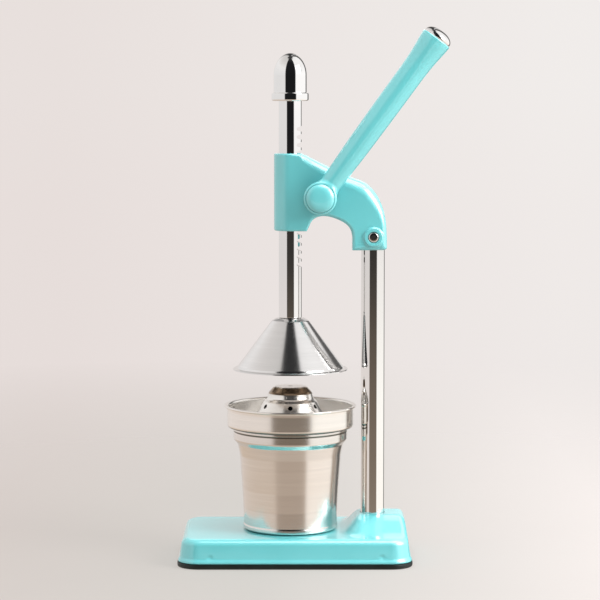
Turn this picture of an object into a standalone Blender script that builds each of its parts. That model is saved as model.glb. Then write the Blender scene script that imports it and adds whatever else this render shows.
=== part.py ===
"""Manual lever citrus press: cast base and head on a tubular post, a rack-cut ram shaft driven by a sector
pinion on the lever shaft, a flared pressing cone, a strainer bowl with a stepped reamer, and a juice cup.

+X runs from the cup side to the post side, +Y to the rear, +Z up; the table is z = 0.
Dimensions are in millimetres; solid() scales each piece to metres.
"""
import math

import bmesh
import bpy
from mathutils import Matrix, Vector

MM = 0.001

# ---- layout ---------------------------------------------------------------------------------
AXIS_X = -4.4                    # ram shaft, cone, strainer and cup share this vertical axis
POST_X = 72.7                    # vertical axis of the post
PIVOT_X, PIVOT_Z = 23.2, 338.6   # lever shaft, running along Y

# ---- base -----------------------------------------------------------------------------------
PAD_H = 4.6
BASE_L, BASE_D, BASE_R = 216.0, 132.0, 20.0   # length, depth, corner radius in plan
BASE_TOP = 26.8
BASE_EDGE_R = 5.0
SKIRT_INSET, SKIRT_Z = 1.3, 8.4               # where the drafted side wall starts
BASE_DRAFT = math.tan(math.radians(8.0))
BASE_WALL = 4.5
BASE_FLOOR = 3.6
MOUND_H = 15.4
MOUND_X0, MOUND_X1 = 41.0, 62.0               # the mound's rise along X
MOUND_Y0, MOUND_Y1 = 13.0, 60.0               # its fall away from the centre line
SOCKET_Z = 27.2

# ---- post -----------------------------------------------------------------------------------
POST_R, POST_WALL = 11.0, 1.8
POST_Z0, POST_Z1 = 27.5, 311.0
POST_CHAMFER = 0.5
POST_SOCKET_R = POST_R + 0.25

# ---- head -----------------------------------------------------------------------------------
HEAD_HALF = 15.2                 # half thickness along Y
BARREL_R = HEAD_HALF
BARREL_Z0, BARREL_Z1 = 307.0, 378.8
RAM_BORE_R = 11.0
LEG_Z0 = 289.4
SCREW_Z = 301.5
HEAD_EDGE = 4.0

# ---- rack and pinion ------------------------------------------------------------------------
SHAFT_R = 10.7
SHAFT_Z0, SHOULDER_Z = 225.6, 428.0
SPIGOT_R, SPIGOT_TOP = 6.0, 445.0   # reduced end of the shaft, inside the knob
PITCH = 7.40
TEETH = 16                          # teeth a full pinion would have
SECTOR_TEETH = 11                   # teeth cut
PITCH_R = TEETH * PITCH / (2 * math.pi)
NOTCHES = 18
NOTCH_FLOOR_X, NOTCH_MOUTH_X = 6.1, 13.0   # from the ram axis
NOTCH_HALF = 14.0                          # half length along Y
FLANK = math.radians(20.0)
RACK_EXTRA = 0.30                   # widening of each rack notch at the pitch line
PINION_THIN = 0.35                  # thinning of each pinion tooth at the pitch circle
PINION_TIP_R = 20.5
PINION_NEAR_TIP_R = 19.7
PINION_ROOT_R = 16.2
PINION_BACK_R = 14.0
PINION_HALF = 6.0
POCKET_HALF = 6.8
POCKET_R = 21.3
PINION_SHAFT_R = 5.0
PINION_BORE_R = PINION_SHAFT_R + 0.2
PIN_R, PIN_HOLE_R = 1.5, 1.7
BUSH_R = 7.5

# ---- lever ----------------------------------------------------------------------------------
LEVER_ANGLE = math.radians(53.9)    # above horizontal, towards +X
LEVER_Y = -31.0
HUB_R = 15.2
HUB_Y0, HUB_Y1 = -17.2, -40.6
ARM_END = 180.2                     # from the pivot along the arm

# ---- ram top and cone -----------------------------------------------------------------------
KNOB_FLANGE_R, KNOB_R = 17.2, 15.4
KNOB_Z0, KNOB_Z1, KNOB_TOP = 427.2, 434.3, 471.4
KNOB_DOME_H = 20.0
CONE_TOP_Z, CONE_BRIM_Z = 225.2, 177.1
CONE_TOP_R, CONE_BRIM_R = 15.3, 53.6
CONE_HOLE_R = 2.9
SHEET = 1.2                         # sheet thickness of cone and strainer
CONE_UNDER_Z = CONE_TOP_Z - SHEET   # underside of the cone's flat top

# ---- strainer and cup -----------------------------------------------------------------------
CUP_Z0 = BASE_TOP + 0.3
CUP_LIP_Z = 122.6
CUP_LIP_R = 53.4
STRAINER_RIM_Z = 143.8
STRAINER_RIM_R = 61.5
STRAINER_WALL_R = 59.0
STRAINER_FLOOR_Z = 122.9
REAMER_TOP_Z = 161.2
HOLE_R = 2.3

SEG_BIG, SEG_MID, SEG_SMALL = 36, 22, 12
SEG_HEX = 6
SEG_HOLE = 10


# ---- frames and origins ---------------------------------------------------------------------
def frame(x, z=0.0, tip=0.0):
    """A frame at (x, 0, z) tipped about X: -90 degrees turns local Z to +Y, 90 turns it to -Y."""
    return Matrix.Translation((x, 0.0, z)) @ Matrix.Rotation(math.radians(tip), 4, "X")


AT_AXIS = frame(AXIS_X)
AT_POST = frame(POST_X)
AT_PIVOT = frame(PIVOT_X, PIVOT_Z, tip=-90)
AT_PIN = frame(PIVOT_X, PIVOT_Z)           # vertical, through the lever shaft
AT_HEAD_SCREW = frame(POST_X, SCREW_Z, tip=90)
AT_ARM = (
    Matrix.Translation((PIVOT_X, LEVER_Y, PIVOT_Z))
    @ Matrix.Rotation(math.radians(90) - LEVER_ANGLE, 4, "Y")
)

FRAME_ORIGIN = (0.0, 0.0, 0.0)
RAM_ORIGIN = (AXIS_X, 0.0, SHAFT_Z0)
PIVOT_ORIGIN = (PIVOT_X, 0.0, PIVOT_Z)
CUP_ORIGIN = (AXIS_X, 0.0, CUP_Z0)
STRAINER_ORIGIN = (AXIS_X, 0.0, STRAINER_FLOOR_Z)


# ---- helpers --------------------------------------------------------------------------------
def clear_scene():
    for obj in list(bpy.data.objects):
        bpy.data.objects.remove(obj, do_unlink=True)


def material(name, colour, metallic, roughness):
    mat = bpy.data.materials.new(name)
    mat.use_nodes = True
    shader = mat.node_tree.nodes["Principled BSDF"]
    shader.inputs["Base Color"].default_value = (*colour, 1.0)
    shader.inputs["Metallic"].default_value = metallic
    shader.inputs["Roughness"].default_value = roughness
    mat.diffuse_color = (*colour, 1.0)
    return mat


def solid(name, skin):
    """A closed mesh object from a bmesh in millimetres, with its faces turned outwards."""
    bmesh.ops.remove_doubles(skin, verts=skin.verts, dist=1e-4)
    bmesh.ops.recalc_face_normals(skin, faces=skin.faces)
    bmesh.ops.scale(skin, vec=(MM, MM, MM), verts=skin.verts)
    mesh = bpy.data.meshes.new(name)
    skin.to_mesh(mesh)
    skin.free()
    obj = bpy.data.objects.new(name, mesh)
    bpy.context.scene.collection.objects.link(obj)
    return obj


def loft(rings, cap_end=True, closed=False, skin=None):
    """Skins rings of points with equal counts; a ring of one point is a pole.

    A closed loft joins its last ring to its first. Faces go into skin, or into a new bmesh.
    """
    if skin is None:
        skin = bmesh.new()
    made = [[skin.verts.new(point) for point in ring] for ring in rings]
    pairs = list(zip(made, made[1:]))
    if closed:
        pairs.append((made[-1], made[0]))
    for lower, upper in pairs:
        count = max(len(lower), len(upper))
        for i in range(count):
            j = (i + 1) % count
            if len(lower) == 1:
                skin.faces.new((lower[0], upper[i], upper[j]))
            elif len(upper) == 1:
                skin.faces.new((lower[i], lower[j], upper[0]))
            else:
                skin.faces.new((lower[i], lower[j], upper[j], upper[i]))
    if not closed:
        if len(made[0]) > 1:
            skin.faces.new(made[0])
        if cap_end and len(made[-1]) > 1:
            skin.faces.new(made[-1])
    return skin


def turned(name, profile, seg, place, closed=False):
    """A lathe body about the Z axis of place, from (radius, height) pairs.

    Open profiles run from the axis back to the axis.
    """
    rings = []
    for radius, height in profile:
        if radius < 1e-6:
            rings.append([place @ Vector((0, 0, height))])
            continue
        angles = [2 * math.pi * k / seg for k in range(seg)]
        rings.append(
            [place @ Vector((radius * math.cos(a), radius * math.sin(a), height)) for a in angles]
        )
    return solid(name, loft(rings, closed=closed))


def rod(name, radius, low, high, seg, place):
    """A plain solid cylinder; with six segments, a hexagonal bar."""
    return turned(name, [(0, low), (radius, low), (radius, high), (0, high)], seg, place)


def tube(name, inner, outer, low, high, seg, place):
    """A plain ring or sleeve."""
    profile = [(inner, low), (outer, low), (outer, high), (inner, high)]
    return turned(name, profile, seg, place, closed=True)


def prism_rings(points, y0, y1):
    return [[(x, y, z) for x, z in points] for y in (y0, y1)]


def prism(name, points, y0, y1):
    """An (x, z) outline extruded along Y."""
    return solid(name, loft(prism_rings(points, y0, y1)))


def boolean(obj, tool, operation):
    """Applies one Boolean with the exact solver and removes the tool."""
    mod = obj.modifiers.new("cut", "BOOLEAN")
    mod.operation = operation
    mod.solver = "EXACT"
    mod.object = tool
    bpy.context.view_layer.update()
    graph = bpy.context.evaluated_depsgraph_get()
    mesh = bpy.data.meshes.new_from_object(obj.evaluated_get(graph))
    obj.modifiers.clear()
    obj.data = mesh
    bpy.data.objects.remove(tool, do_unlink=True)


def cut(obj, tool):
    boolean(obj, tool, "DIFFERENCE")


def join(obj, tool):
    boolean(obj, tool, "UNION")


def soften(obj, width, segments, wanted):
    """Bevels the edges that wanted(start, end) picks, ends given in millimetres."""
    skin = bmesh.new()
    skin.from_mesh(obj.data)
    edges = [e for e in skin.edges if wanted(e.verts[0].co / MM, e.verts[1].co / MM)]
    bmesh.ops.bevel(
        skin,
        geom=edges,
        offset=width * MM,
        segments=segments,
        profile=0.5,
        affect="EDGES",
        clamp_overlap=True,
    )
    skin.to_mesh(obj.data)
    skin.free()


def finish(obj, mat, origin):
    """Sets the origin, the material and smooth shading with sharp corners."""
    shift = Vector(origin) * MM
    obj.data.transform(Matrix.Translation(-shift))
    obj.location = shift
    obj.data.materials.clear()
    obj.data.materials.append(mat)
    for poly in obj.data.polygons:
        poly.use_smooth = True
        poly.material_index = 0
    obj.data.set_sharp_from_angle(angle=math.radians(32))
    obj.data.name = obj.name


def smoothstep(start, end, value):
    t = min(1.0, max(0.0, (value - start) / (end - start)))
    return t * t * (3 - 2 * t)


clear_scene()

ENAMEL = material("turquoise_enamel", colour=(0.20, 0.62, 0.62), metallic=0.0, roughness=0.22)
CHROME = material("polished_chrome", colour=(0.80, 0.80, 0.79), metallic=1.0, roughness=0.06)
POST_CHROME = material("post_chrome", colour=(0.78, 0.77, 0.76), metallic=1.0, roughness=0.08)
BRIGHT = material("spun_stainless", colour=(0.74, 0.72, 0.71), metallic=1.0, roughness=0.22)
SATIN = material("satin_stainless", colour=(0.68, 0.64, 0.60), metallic=1.0, roughness=0.30)
RUBBER = material("black_rubber", colour=(0.02, 0.022, 0.022), metallic=0.0, roughness=0.62)
STEEL = material("machined_steel", colour=(0.50, 0.50, 0.50), metallic=1.0, roughness=0.34)
ZINC = material("zinc_fastener", colour=(0.62, 0.62, 0.64), metallic=1.0, roughness=0.26)
BRONZE = material("bronze_bush", colour=(0.55, 0.36, 0.16), metallic=1.0, roughness=0.32)


# ---- base -----------------------------------------------------------------------------------
def outline(inset, n_long=19, n_short=7, n_corner=5):
    """The base's rounded rectangle in plan, moved in by inset.

    Counter-clockwise from the middle of the +X end, symmetric about both axes. n_long and
    n_short count the points inside each straight side, n_corner the steps round each corner.
    """
    half_x = BASE_L / 2 - inset
    half_y = BASE_D / 2 - inset
    radius = BASE_R - inset
    corner_x, corner_y = half_x - radius, half_y - radius
    end_steps = n_short // 2 + 1
    side_steps = n_long // 2 + 1
    quarter = [(half_x, corner_y * k / end_steps) for k in range(end_steps)]
    for k in range(n_corner + 1):
        angle = math.radians(90 * k / n_corner)
        quarter.append((corner_x + radius * math.cos(angle), corner_y + radius * math.sin(angle)))
    quarter += [(corner_x * (1 - k / side_steps), half_y) for k in range(1, side_steps)]
    quarter.append((0.0, half_y))
    rear = quarter + [(-x, y) for x, y in reversed(quarter[:-1])]
    front = [(x, -y) for x, y in reversed(rear[1:-1])]
    return rear + front


def level_ring(inset, z, *counts):
    """The base outline at one height; counts go to outline()."""
    return [Vector((x, y, z)) for x, y in outline(inset, *counts)]


def base_height(x, y):
    """Top surface of the casting: a flat deck with a smooth mound that carries the post."""
    rise = smoothstep(MOUND_X0, MOUND_X1, x)
    across = 1.0 - smoothstep(MOUND_Y0, MOUND_Y1, abs(y))
    return BASE_TOP + MOUND_H * rise * across


def edge_seat(index):
    """Inset of the drafted wall's top at one outline point, and the deck height there.

    Each depends on the other, so they are settled by iteration.
    """
    inset = SKIRT_INSET
    for _ in range(4):
        x, y = outline(inset + BASE_EDGE_R)[index]
        top = base_height(x, y)
        inset = SKIRT_INSET + (top - BASE_EDGE_R - SKIRT_Z) * BASE_DRAFT
    return inset, top


def base_rings():
    """Rings from the bottom edge up the wall, over the rounded edge and in across the deck."""
    rings = [level_ring(0.0, PAD_H + 0.2), level_ring(0.0, 6.2), level_ring(SKIRT_INSET, SKIRT_Z)]
    seats = [edge_seat(i) for i in range(len(rings[0]))]
    for degrees in (0, 30, 60, 90):
        angle = math.radians(degrees)
        ring = []
        for i, (inset, top) in enumerate(seats):
            x, y = outline(inset + BASE_EDGE_R * (1 - math.cos(angle)))[i]
            z = top - BASE_EDGE_R + BASE_EDGE_R * math.sin(angle)
            ring.append(Vector((x, y, z)))
        rings.append(ring)
    deck_edge = rings[-1]
    for t in (0.14, 0.32, 0.50, 0.68, 0.84):   # fraction of the way to the spine at y = 0
        ring = []
        for point in deck_edge:
            spine_x = point.x * 0.80 + (4.0 if point.x > 0 else 0.0)
            spine_x = max(-58.0, min(78.0, spine_x))
            x = point.x + (spine_x - point.x) * t
            y = point.y * (1 - t)
            ring.append(Vector((x, y, base_height(x, y))))
        rings.append(ring)
    return rings


def close_deck(skin, count):
    """Fills the last ring, of count points, with two end faces and a row of quads between."""
    skin.verts.ensure_lookup_table()
    start = len(skin.verts) - count
    last = [skin.verts[start + k] for k in range(count)]
    half = count // 2

    def end_reach(middle, direction):
        """Steps from the middle of an end to the first point that leaves its straight line."""
        middle_x = last[middle].co.x
        return next(
            k for k in range(half) if abs(last[middle + direction * k].co.x - middle_x) > 0.5
        )

    plus = end_reach(0, 1)
    minus = end_reach(half, -1)
    skin.faces.new([last[k % count] for k in range(-plus, plus + 1)])
    skin.faces.new([last[k] for k in range(half - minus, half + minus + 1)])
    for k in range(plus, half - minus):   # each point to its mirror across the spine
        skin.faces.new((last[k], last[k + 1], last[count - k - 1], last[count - k]))


def make_base():
    rings = base_rings()
    skin = loft(rings, cap_end=False)
    close_deck(skin, len(rings[0]))
    body = solid("base", skin)
    under = BASE_TOP - BASE_FLOOR
    cavity_levels = (   # inset, z
        (BASE_WALL, 0.0), (BASE_WALL + 3.2, under - 2.0), (BASE_WALL + 6.0, under),
    )
    cavity_rings = [level_ring(inset, z, 3, 3, 4) for inset, z in cavity_levels]
    cut(body, solid("cavity", loft(cavity_rings)))
    cut(body, rod("socket", POST_SOCKET_R, SOCKET_Z, 60, SEG_MID, AT_POST))
    cut(body, rod("bolt_hole", 4.3, 15, 40, SEG_SMALL, AT_POST))
    finish(body, ENAMEL, FRAME_ORIGIN)


def make_pad():
    """Rubber pad under the base rim, with a shallow recess in its top."""
    levels = (   # inset, z
        (0.4, 0.0), (-0.6, 0.8), (-0.6, 3.8), (-0.1, PAD_H), (7.0, PAD_H), (7.0, 2.6),
    )
    rings = [level_ring(inset, z, 1, 1, 5) for inset, z in levels]
    finish(solid("base_pad", loft(rings)), RUBBER, FRAME_ORIGIN)


# ---- post and what holds it -----------------------------------------------------------------
def make_post():
    profile = [
        (POST_R - POST_CHAMFER, POST_Z0), (POST_R, POST_Z0 + POST_CHAMFER),
        (POST_R, POST_Z1 - POST_CHAMFER), (POST_R - POST_CHAMFER, POST_Z1),
        (POST_R - POST_WALL, POST_Z1), (POST_R - POST_WALL, POST_Z0),
    ]
    post = turned("post", profile, SEG_MID, AT_POST, closed=True)
    finish(post, POST_CHROME, FRAME_ORIGIN)


def make_post_fixings():
    """Plug inside the post's foot, and the washer and bolt below it."""
    plug = tube("post_plug", 4.2, 8.9, 28.0, 50.0, SEG_SMALL, AT_POST)
    finish(plug, ZINC, FRAME_ORIGIN)
    washer = tube("post_washer", 4.3, 9.0, 21.4, 23.0, SEG_SMALL, AT_POST)
    finish(washer, ZINC, FRAME_ORIGIN)
    head = [(0, 15.2), (6.4, 15.2), (7.4, 16.0), (7.4, 21.2), (0, 21.2)]
    shank = [(0, 20.0), (3.9, 20.0), (3.9, 45.0), (3.1, 46.0), (0, 46.0)]
    bolt = turned("post_bolt", head, SEG_HEX, AT_POST)
    join(bolt, turned("bolt_shank", shank, SEG_SMALL, AT_POST))
    finish(bolt, ZINC, FRAME_ORIGIN)


# ---- head casting ---------------------------------------------------------------------------
# Side outline as (x, z): over the top from the ram axis to the rear leg's foot at +X, and back.
HEAD_TOP = [
    (AXIS_X, BARREL_Z1), (5.6, 378.6), (10.6, 376.8), (16.7, 373.7), (31.0, 366.5),
    (40.0, 361.9), (49.6, 357.2), (58.0, 354.6), (64.6, 351.8), (70.6, 347.0), (75.4, 340.8),
    (79.4, 333.6), (82.8, 325.6), (85.2, 316.0), (86.4, 305.0), (86.8, LEG_Z0),
]
HEAD_UNDER = [
    (53.1, LEG_Z0), (53.1, 301.5), (52.0, 306.8), (49.6, 311.0), (45.8, 314.6), (41.0, 317.2),
    (35.4, 319.5), (29.0, 320.8), (23.6, 320.7), (18.8, 319.2), (15.4, 316.4), (13.0, 311.6),
    (10.8, BARREL_Z0), (AXIS_X, BARREL_Z0),
]


def is_head_rim(start, end):
    """Outline edges of the head's two side faces, but not at the ram axis or flat undersides."""
    in_side_face = abs(start.y - end.y) < 1e-3
    at_ram_axis = max(start.x, end.x) < AXIS_X + 0.4
    on_underside = any(
        abs(start.z - z) < 1e-3 and abs(end.z - z) < 1e-3 for z in (LEG_Z0, BARREL_Z0)
    )
    return in_side_face and not at_ram_axis and not on_underside


def make_head():
    head = prism("head", HEAD_TOP + HEAD_UNDER, -HEAD_HALF, HEAD_HALF)
    soften(head, HEAD_EDGE, 3, is_head_rim)
    # The barrel stands 0.05 proud of the arm so that no faces coincide.
    barrel = [
        (0, BARREL_Z0 - 0.05), (BARREL_R - 2.2, BARREL_Z0 - 0.05),
        (BARREL_R - 0.5, BARREL_Z0 + 0.7), (BARREL_R + 0.05, BARREL_Z0 + 2.4),
        (BARREL_R + 0.05, BARREL_Z1 - 2.4), (BARREL_R - 0.5, BARREL_Z1 - 0.7),
        (BARREL_R - 2.2, BARREL_Z1 + 0.05), (0, BARREL_Z1 + 0.05),
    ]
    join(head, turned("barrel", barrel, SEG_BIG, AT_AXIS))
    boss = [(0, 8.0), (8.8, 8.0), (8.8, 16.6), (8.0, 17.3), (0, 17.3)]
    join(head, turned("boss", boss, SEG_MID, AT_HEAD_SCREW))
    cut(head, rod("ram_bore", RAM_BORE_R, 295, 392, SEG_MID, AT_AXIS))
    cut(head, rod("post_bore", POST_SOCKET_R, 280, POST_Z1 + 0.3, SEG_MID, AT_POST))
    # Pinion pocket: open below, round over the pinion.
    pocket = [(PIVOT_X - POCKET_R, 298.0), (PIVOT_X + POCKET_R, 298.0)]
    for k in range(19):
        angle = math.radians(180 * k / 18)
        pocket.append(
            (PIVOT_X + POCKET_R * math.cos(angle), PIVOT_Z + POCKET_R * math.sin(angle))
        )
    cut(head, prism("pocket", pocket, -POCKET_HALF, POCKET_HALF))
    cut(head, rod("shaft_bore", BUSH_R + 0.2, -25, 25, SEG_MID, AT_PIVOT))
    screw_bore = [(0, 9.0), (3.3, 9.0), (3.3, 13.9), (5.0, 13.9), (5.0, 25), (0, 25)]
    cut(head, turned("screw_bore", screw_bore, SEG_SMALL, AT_HEAD_SCREW))
    finish(head, ENAMEL, FRAME_ORIGIN)


def make_head_screw():
    """Socket-head screw in the front of the head's leg."""
    profile = [
        (0, 11.2), (2.6, 11.2), (3.0, 11.6), (3.0, 14.1), (4.7, 14.1), (4.7, 17.4), (4.2, 17.9),
        (0, 17.9),
    ]
    screw = turned("head_screw", profile, SEG_SMALL, AT_HEAD_SCREW)
    cut(screw, rod("hex", 2.3, 15.4, 20, SEG_HEX, AT_HEAD_SCREW))
    finish(screw, CHROME, FRAME_ORIGIN)


def make_bushings():
    for name, y0, y1 in (
        ("bushing_front", -HEAD_HALF, -POCKET_HALF),
        ("bushing_rear", POCKET_HALF, HEAD_HALF),
    ):
        bushing = tube(name, PINION_BORE_R, BUSH_R, y0, y1, SEG_MID, AT_PIVOT)
        finish(bushing, BRONZE, PIVOT_ORIGIN)


# ---- ram: rack shaft, knob, cone ------------------------------------------------------------
def rack_notches():
    """Tapered notches across the +X side of the shaft, centred on the pivot's height."""
    pitch_x = PIVOT_X - PITCH_R - AXIS_X
    corners = (   # x from the ram axis, side of the notch
        (NOTCH_FLOOR_X, -1), (NOTCH_MOUTH_X, -1), (NOTCH_MOUTH_X, 1), (NOTCH_FLOOR_X, 1),
    )
    skin = bmesh.new()
    for k in range(NOTCHES):
        centre_z = PIVOT_Z + PITCH * (k - NOTCHES / 2 + 0.5)
        points = []
        for x, side in corners:
            half_gap = (PITCH / 2 + RACK_EXTRA) / 2 + (x - pitch_x) * math.tan(FLANK)
            points.append((AXIS_X + x, centre_z + side * half_gap))
        loft(prism_rings(points, -NOTCH_HALF, NOTCH_HALF), skin=skin)
    return solid("notches", skin)


def make_rack_shaft():
    profile = [
        (0, SHAFT_Z0), (SHAFT_R - 0.6, SHAFT_Z0), (SHAFT_R, SHAFT_Z0 + 0.6),
        (SHAFT_R, SHOULDER_Z), (SPIGOT_R, SHOULDER_Z), (SPIGOT_R, SPIGOT_TOP), (0, SPIGOT_TOP),
    ]
    shaft = turned("rack_shaft", profile, SEG_MID, AT_AXIS)
    cut(shaft, rack_notches())
    cut(shaft, rod("cone_screw_hole", 2.7, 200, 248, SEG_SMALL, AT_AXIS))
    finish(shaft, CHROME, RAM_ORIGIN)


def make_knob():
    """Domed knob with a flange at its foot and a stepped bore for the shaft's end."""
    dome_z = KNOB_TOP - KNOB_DOME_H
    profile = [(0, KNOB_TOP)]
    for degrees in (16, 32, 48, 62, 76):
        angle = math.radians(degrees)
        profile.append((KNOB_R * math.sin(angle), dome_z + KNOB_DOME_H * math.cos(angle)))
    profile += [
        (KNOB_R, dome_z - 0.5), (KNOB_R, KNOB_Z1 + 1.2), (KNOB_R + 0.3, KNOB_Z1 + 0.2),
        (KNOB_FLANGE_R - 0.6, KNOB_Z1), (KNOB_FLANGE_R, KNOB_Z1 - 0.9),
        (KNOB_FLANGE_R, KNOB_Z0 + 0.9), (KNOB_FLANGE_R - 0.8, KNOB_Z0),
        (SHAFT_R + 0.3, KNOB_Z0), (SHAFT_R + 0.3, SHOULDER_Z + 0.3),
        (SPIGOT_R + 0.2, SHOULDER_Z + 0.3), (SPIGOT_R + 0.2, SPIGOT_TOP + 0.4),
        (0, SPIGOT_TOP + 0.4),
    ]
    finish(turned("knob", profile, SEG_MID, AT_AXIS), CHROME, RAM_ORIGIN)


def make_cone():
    outer = [
        (CONE_HOLE_R, CONE_TOP_Z), (CONE_TOP_R - 1.6, CONE_TOP_Z),
        (CONE_TOP_R + 0.8, CONE_TOP_Z - 0.9), (CONE_TOP_R + 2.4, CONE_TOP_Z - 3.0),
        (49.2, CONE_BRIM_Z + 3.2), (50.2, CONE_BRIM_Z + 1.8),
        (CONE_BRIM_R - 0.4, CONE_BRIM_Z + 1.1), (CONE_BRIM_R, CONE_BRIM_Z + 0.5),
        (CONE_BRIM_R - 0.5, CONE_BRIM_Z),
    ]
    inner = [
        (49.2, CONE_BRIM_Z + 0.4), (47.6, CONE_BRIM_Z + 2.6),
        (CONE_TOP_R + 1.3, CONE_TOP_Z - 3.8), (CONE_TOP_R - 0.8, CONE_UNDER_Z - 0.1),
        (CONE_HOLE_R, CONE_UNDER_Z),
    ]
    cone = turned("press_cone", outer + inner, SEG_BIG, AT_AXIS, closed=True)
    finish(cone, BRIGHT, RAM_ORIGIN)


def make_cone_fixings():
    """Washer and socket screw under the cone's flat top."""
    under = CONE_UNDER_Z
    washer = tube(
        "cone_washer", CONE_HOLE_R, 10.5, under - 2.2, under - 0.3, SEG_MID, AT_AXIS
    )
    finish(washer, ZINC, RAM_ORIGIN)
    profile = [
        (0, under - 6.8), (4.4, under - 6.8), (5.6, under - 5.4), (5.6, under - 2.4),
        (2.5, under - 2.4), (2.5, under + 20.6), (2.0, under + 21.6), (0, under + 21.6),
    ]
    screw = turned("cone_screw", profile, SEG_SMALL, AT_AXIS)
    cut(screw, rod("hex", 2.6, under - 10.0, under - 4.2, SEG_HEX, AT_AXIS))
    finish(screw, ZINC, RAM_ORIGIN)


# ---- pinion and its shaft -------------------------------------------------------------------
def involute(angle):
    return math.tan(angle) - angle


def pinion_outline():
    """Involute teeth round one side, a smaller plain radius on the other, as (x, z).

    A tooth space faces the ram shaft, at 180 degrees.
    """
    base_r = PITCH_R * math.cos(FLANK)
    pitch_half_angle = (PITCH / 2 - PINION_THIN) / (2 * PITCH_R)
    flank = []   # radius, half the tooth's angle there
    for radius in (PINION_ROOT_R, base_r, PITCH_R, PINION_NEAR_TIP_R, PINION_TIP_R):
        undercut = involute(math.acos(base_r / radius)) if radius > base_r else 0.0
        flank.append((radius, pitch_half_angle + involute(FLANK) - undercut))
    step = 360.0 / TEETH
    polar = []
    for k in range(SECTOR_TEETH):
        centre = math.radians(180.0 - 7.5 * step + step * k)
        polar += [(radius, centre - half) for radius, half in flank]
        polar += [(radius, centre + half) for radius, half in reversed(flank)]
    first, last = polar[0][1], polar[-1][1]
    sweep = 2 * math.pi - (last - first)
    polar += [(PINION_BACK_R, last + sweep * k / 10) for k in range(1, 10)]
    return [(PIVOT_X + r * math.cos(a), PIVOT_Z + r * math.sin(a)) for r, a in polar]


def make_pinion():
    gear = prism("pinion", pinion_outline(), -PINION_HALF, PINION_HALF)
    cut(gear, rod("bore", PINION_BORE_R, -20, 20, SEG_MID, AT_PIVOT))
    cut(gear, rod("pin_hole", PIN_HOLE_R, -20, 9.0, SEG_SMALL, AT_PIN))
    finish(gear, STEEL, PIVOT_ORIGIN)


def make_pinion_shaft():
    """Lever shaft, grooved for the retaining ring near its rear end."""
    profile = [
        (0, -31.0), (PINION_SHAFT_R - 0.5, -31.0), (PINION_SHAFT_R, -30.5),
        (PINION_SHAFT_R, 16.9), (3.9, 16.9), (3.9, 18.2), (PINION_SHAFT_R, 18.2),
        (PINION_SHAFT_R, 20.0), (PINION_SHAFT_R - 0.6, 20.6), (0, 20.6),
    ]
    shaft = turned("pinion_shaft", profile, SEG_MID, AT_PIVOT)
    cut(shaft, rod("pin_hole", PIN_HOLE_R, -20, 20, SEG_SMALL, AT_PIN))
    cut(shaft, rod("tap", 2.3, -40, -16, SEG_SMALL, AT_PIVOT))
    finish(shaft, STEEL, PIVOT_ORIGIN)


def make_pinion_fixings():
    """Cross pin through pinion and shaft; thrust washer and split ring at the rear."""
    finish(rod("pinion_pin", PIN_R, -13.2, 8.6, SEG_SMALL, AT_PIN), ZINC, PIVOT_ORIGIN)
    washer = tube("thrust_washer", 5.3, 9.5, 15.5, 16.6, SEG_MID, AT_PIVOT)
    finish(washer, ZINC, PIVOT_ORIGIN)
    ring = tube("retaining_ring", 4.1, 7.4, 17.0, 18.1, SEG_MID, AT_PIVOT)
    gap = [   # below the shaft
        (PIVOT_X - 2.2, PIVOT_Z - 12), (PIVOT_X + 2.2, PIVOT_Z - 12),
        (PIVOT_X + 2.2, PIVOT_Z), (PIVOT_X - 2.2, PIVOT_Z),
    ]
    cut(ring, prism("ring_gap", gap, 10, 25))
    finish(ring, ZINC, PIVOT_ORIGIN)


# ---- lever ----------------------------------------------------------------------------------
def make_lever():
    hub = [
        (0, HUB_Y1), (HUB_R - 0.8, HUB_Y1), (HUB_R, HUB_Y1 + 1.4), (HUB_R, HUB_Y0 - 1.0),
        (HUB_R - 1.0, HUB_Y0), (0, HUB_Y0),
    ]
    arm = [
        (0, 2.0), (9.4, 2.0), (9.5, 16.0), (9.9, 28.0), (10.8, 55.0), (11.3, 85.0),
        (11.6, 120.0), (11.8, 148.0), (12.8, 164.0), (14.0, 174.0), (14.4, ARM_END - 1.2),
        (14.0, ARM_END), (3.2, ARM_END), (3.2, ARM_END - 12.0), (0, ARM_END - 12.0),
    ]
    bore = [   # from the hub cap's recess in to the shaft
        (0, HUB_Y1 - 5), (13.3, HUB_Y1 - 5), (13.3, -37.0), (7.6, -37.0), (7.6, -31.2),
        (PINION_BORE_R, -31.2), (PINION_BORE_R, -10), (0, -10),
    ]
    lever = turned("lever", hub, SEG_BIG, AT_PIVOT)
    join(lever, turned("arm", arm, SEG_MID, AT_ARM))
    cut(lever, turned("bore", bore, SEG_MID, AT_PIVOT))
    finish(lever, ENAMEL, PIVOT_ORIGIN)


def make_lever_end_cap():
    """Domed cap with a spigot that sits in the arm's end."""
    dome_r, dome_h = 13.5, 7.6
    dome_z = ARM_END + 0.9
    profile = [
        (0, ARM_END - 11.5), (3.0, ARM_END - 11.5), (3.0, ARM_END + 0.2), (13.2, ARM_END + 0.2),
        (dome_r, dome_z),
    ]
    for degrees in (18, 36, 54, 72):
        angle = math.radians(degrees)
        profile.append((dome_r * math.cos(angle), dome_z + dome_h * math.sin(angle)))
    profile.append((0, dome_z + dome_h))
    finish(turned("lever_end_cap", profile, SEG_MID, AT_ARM), CHROME, PIVOT_ORIGIN)


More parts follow.
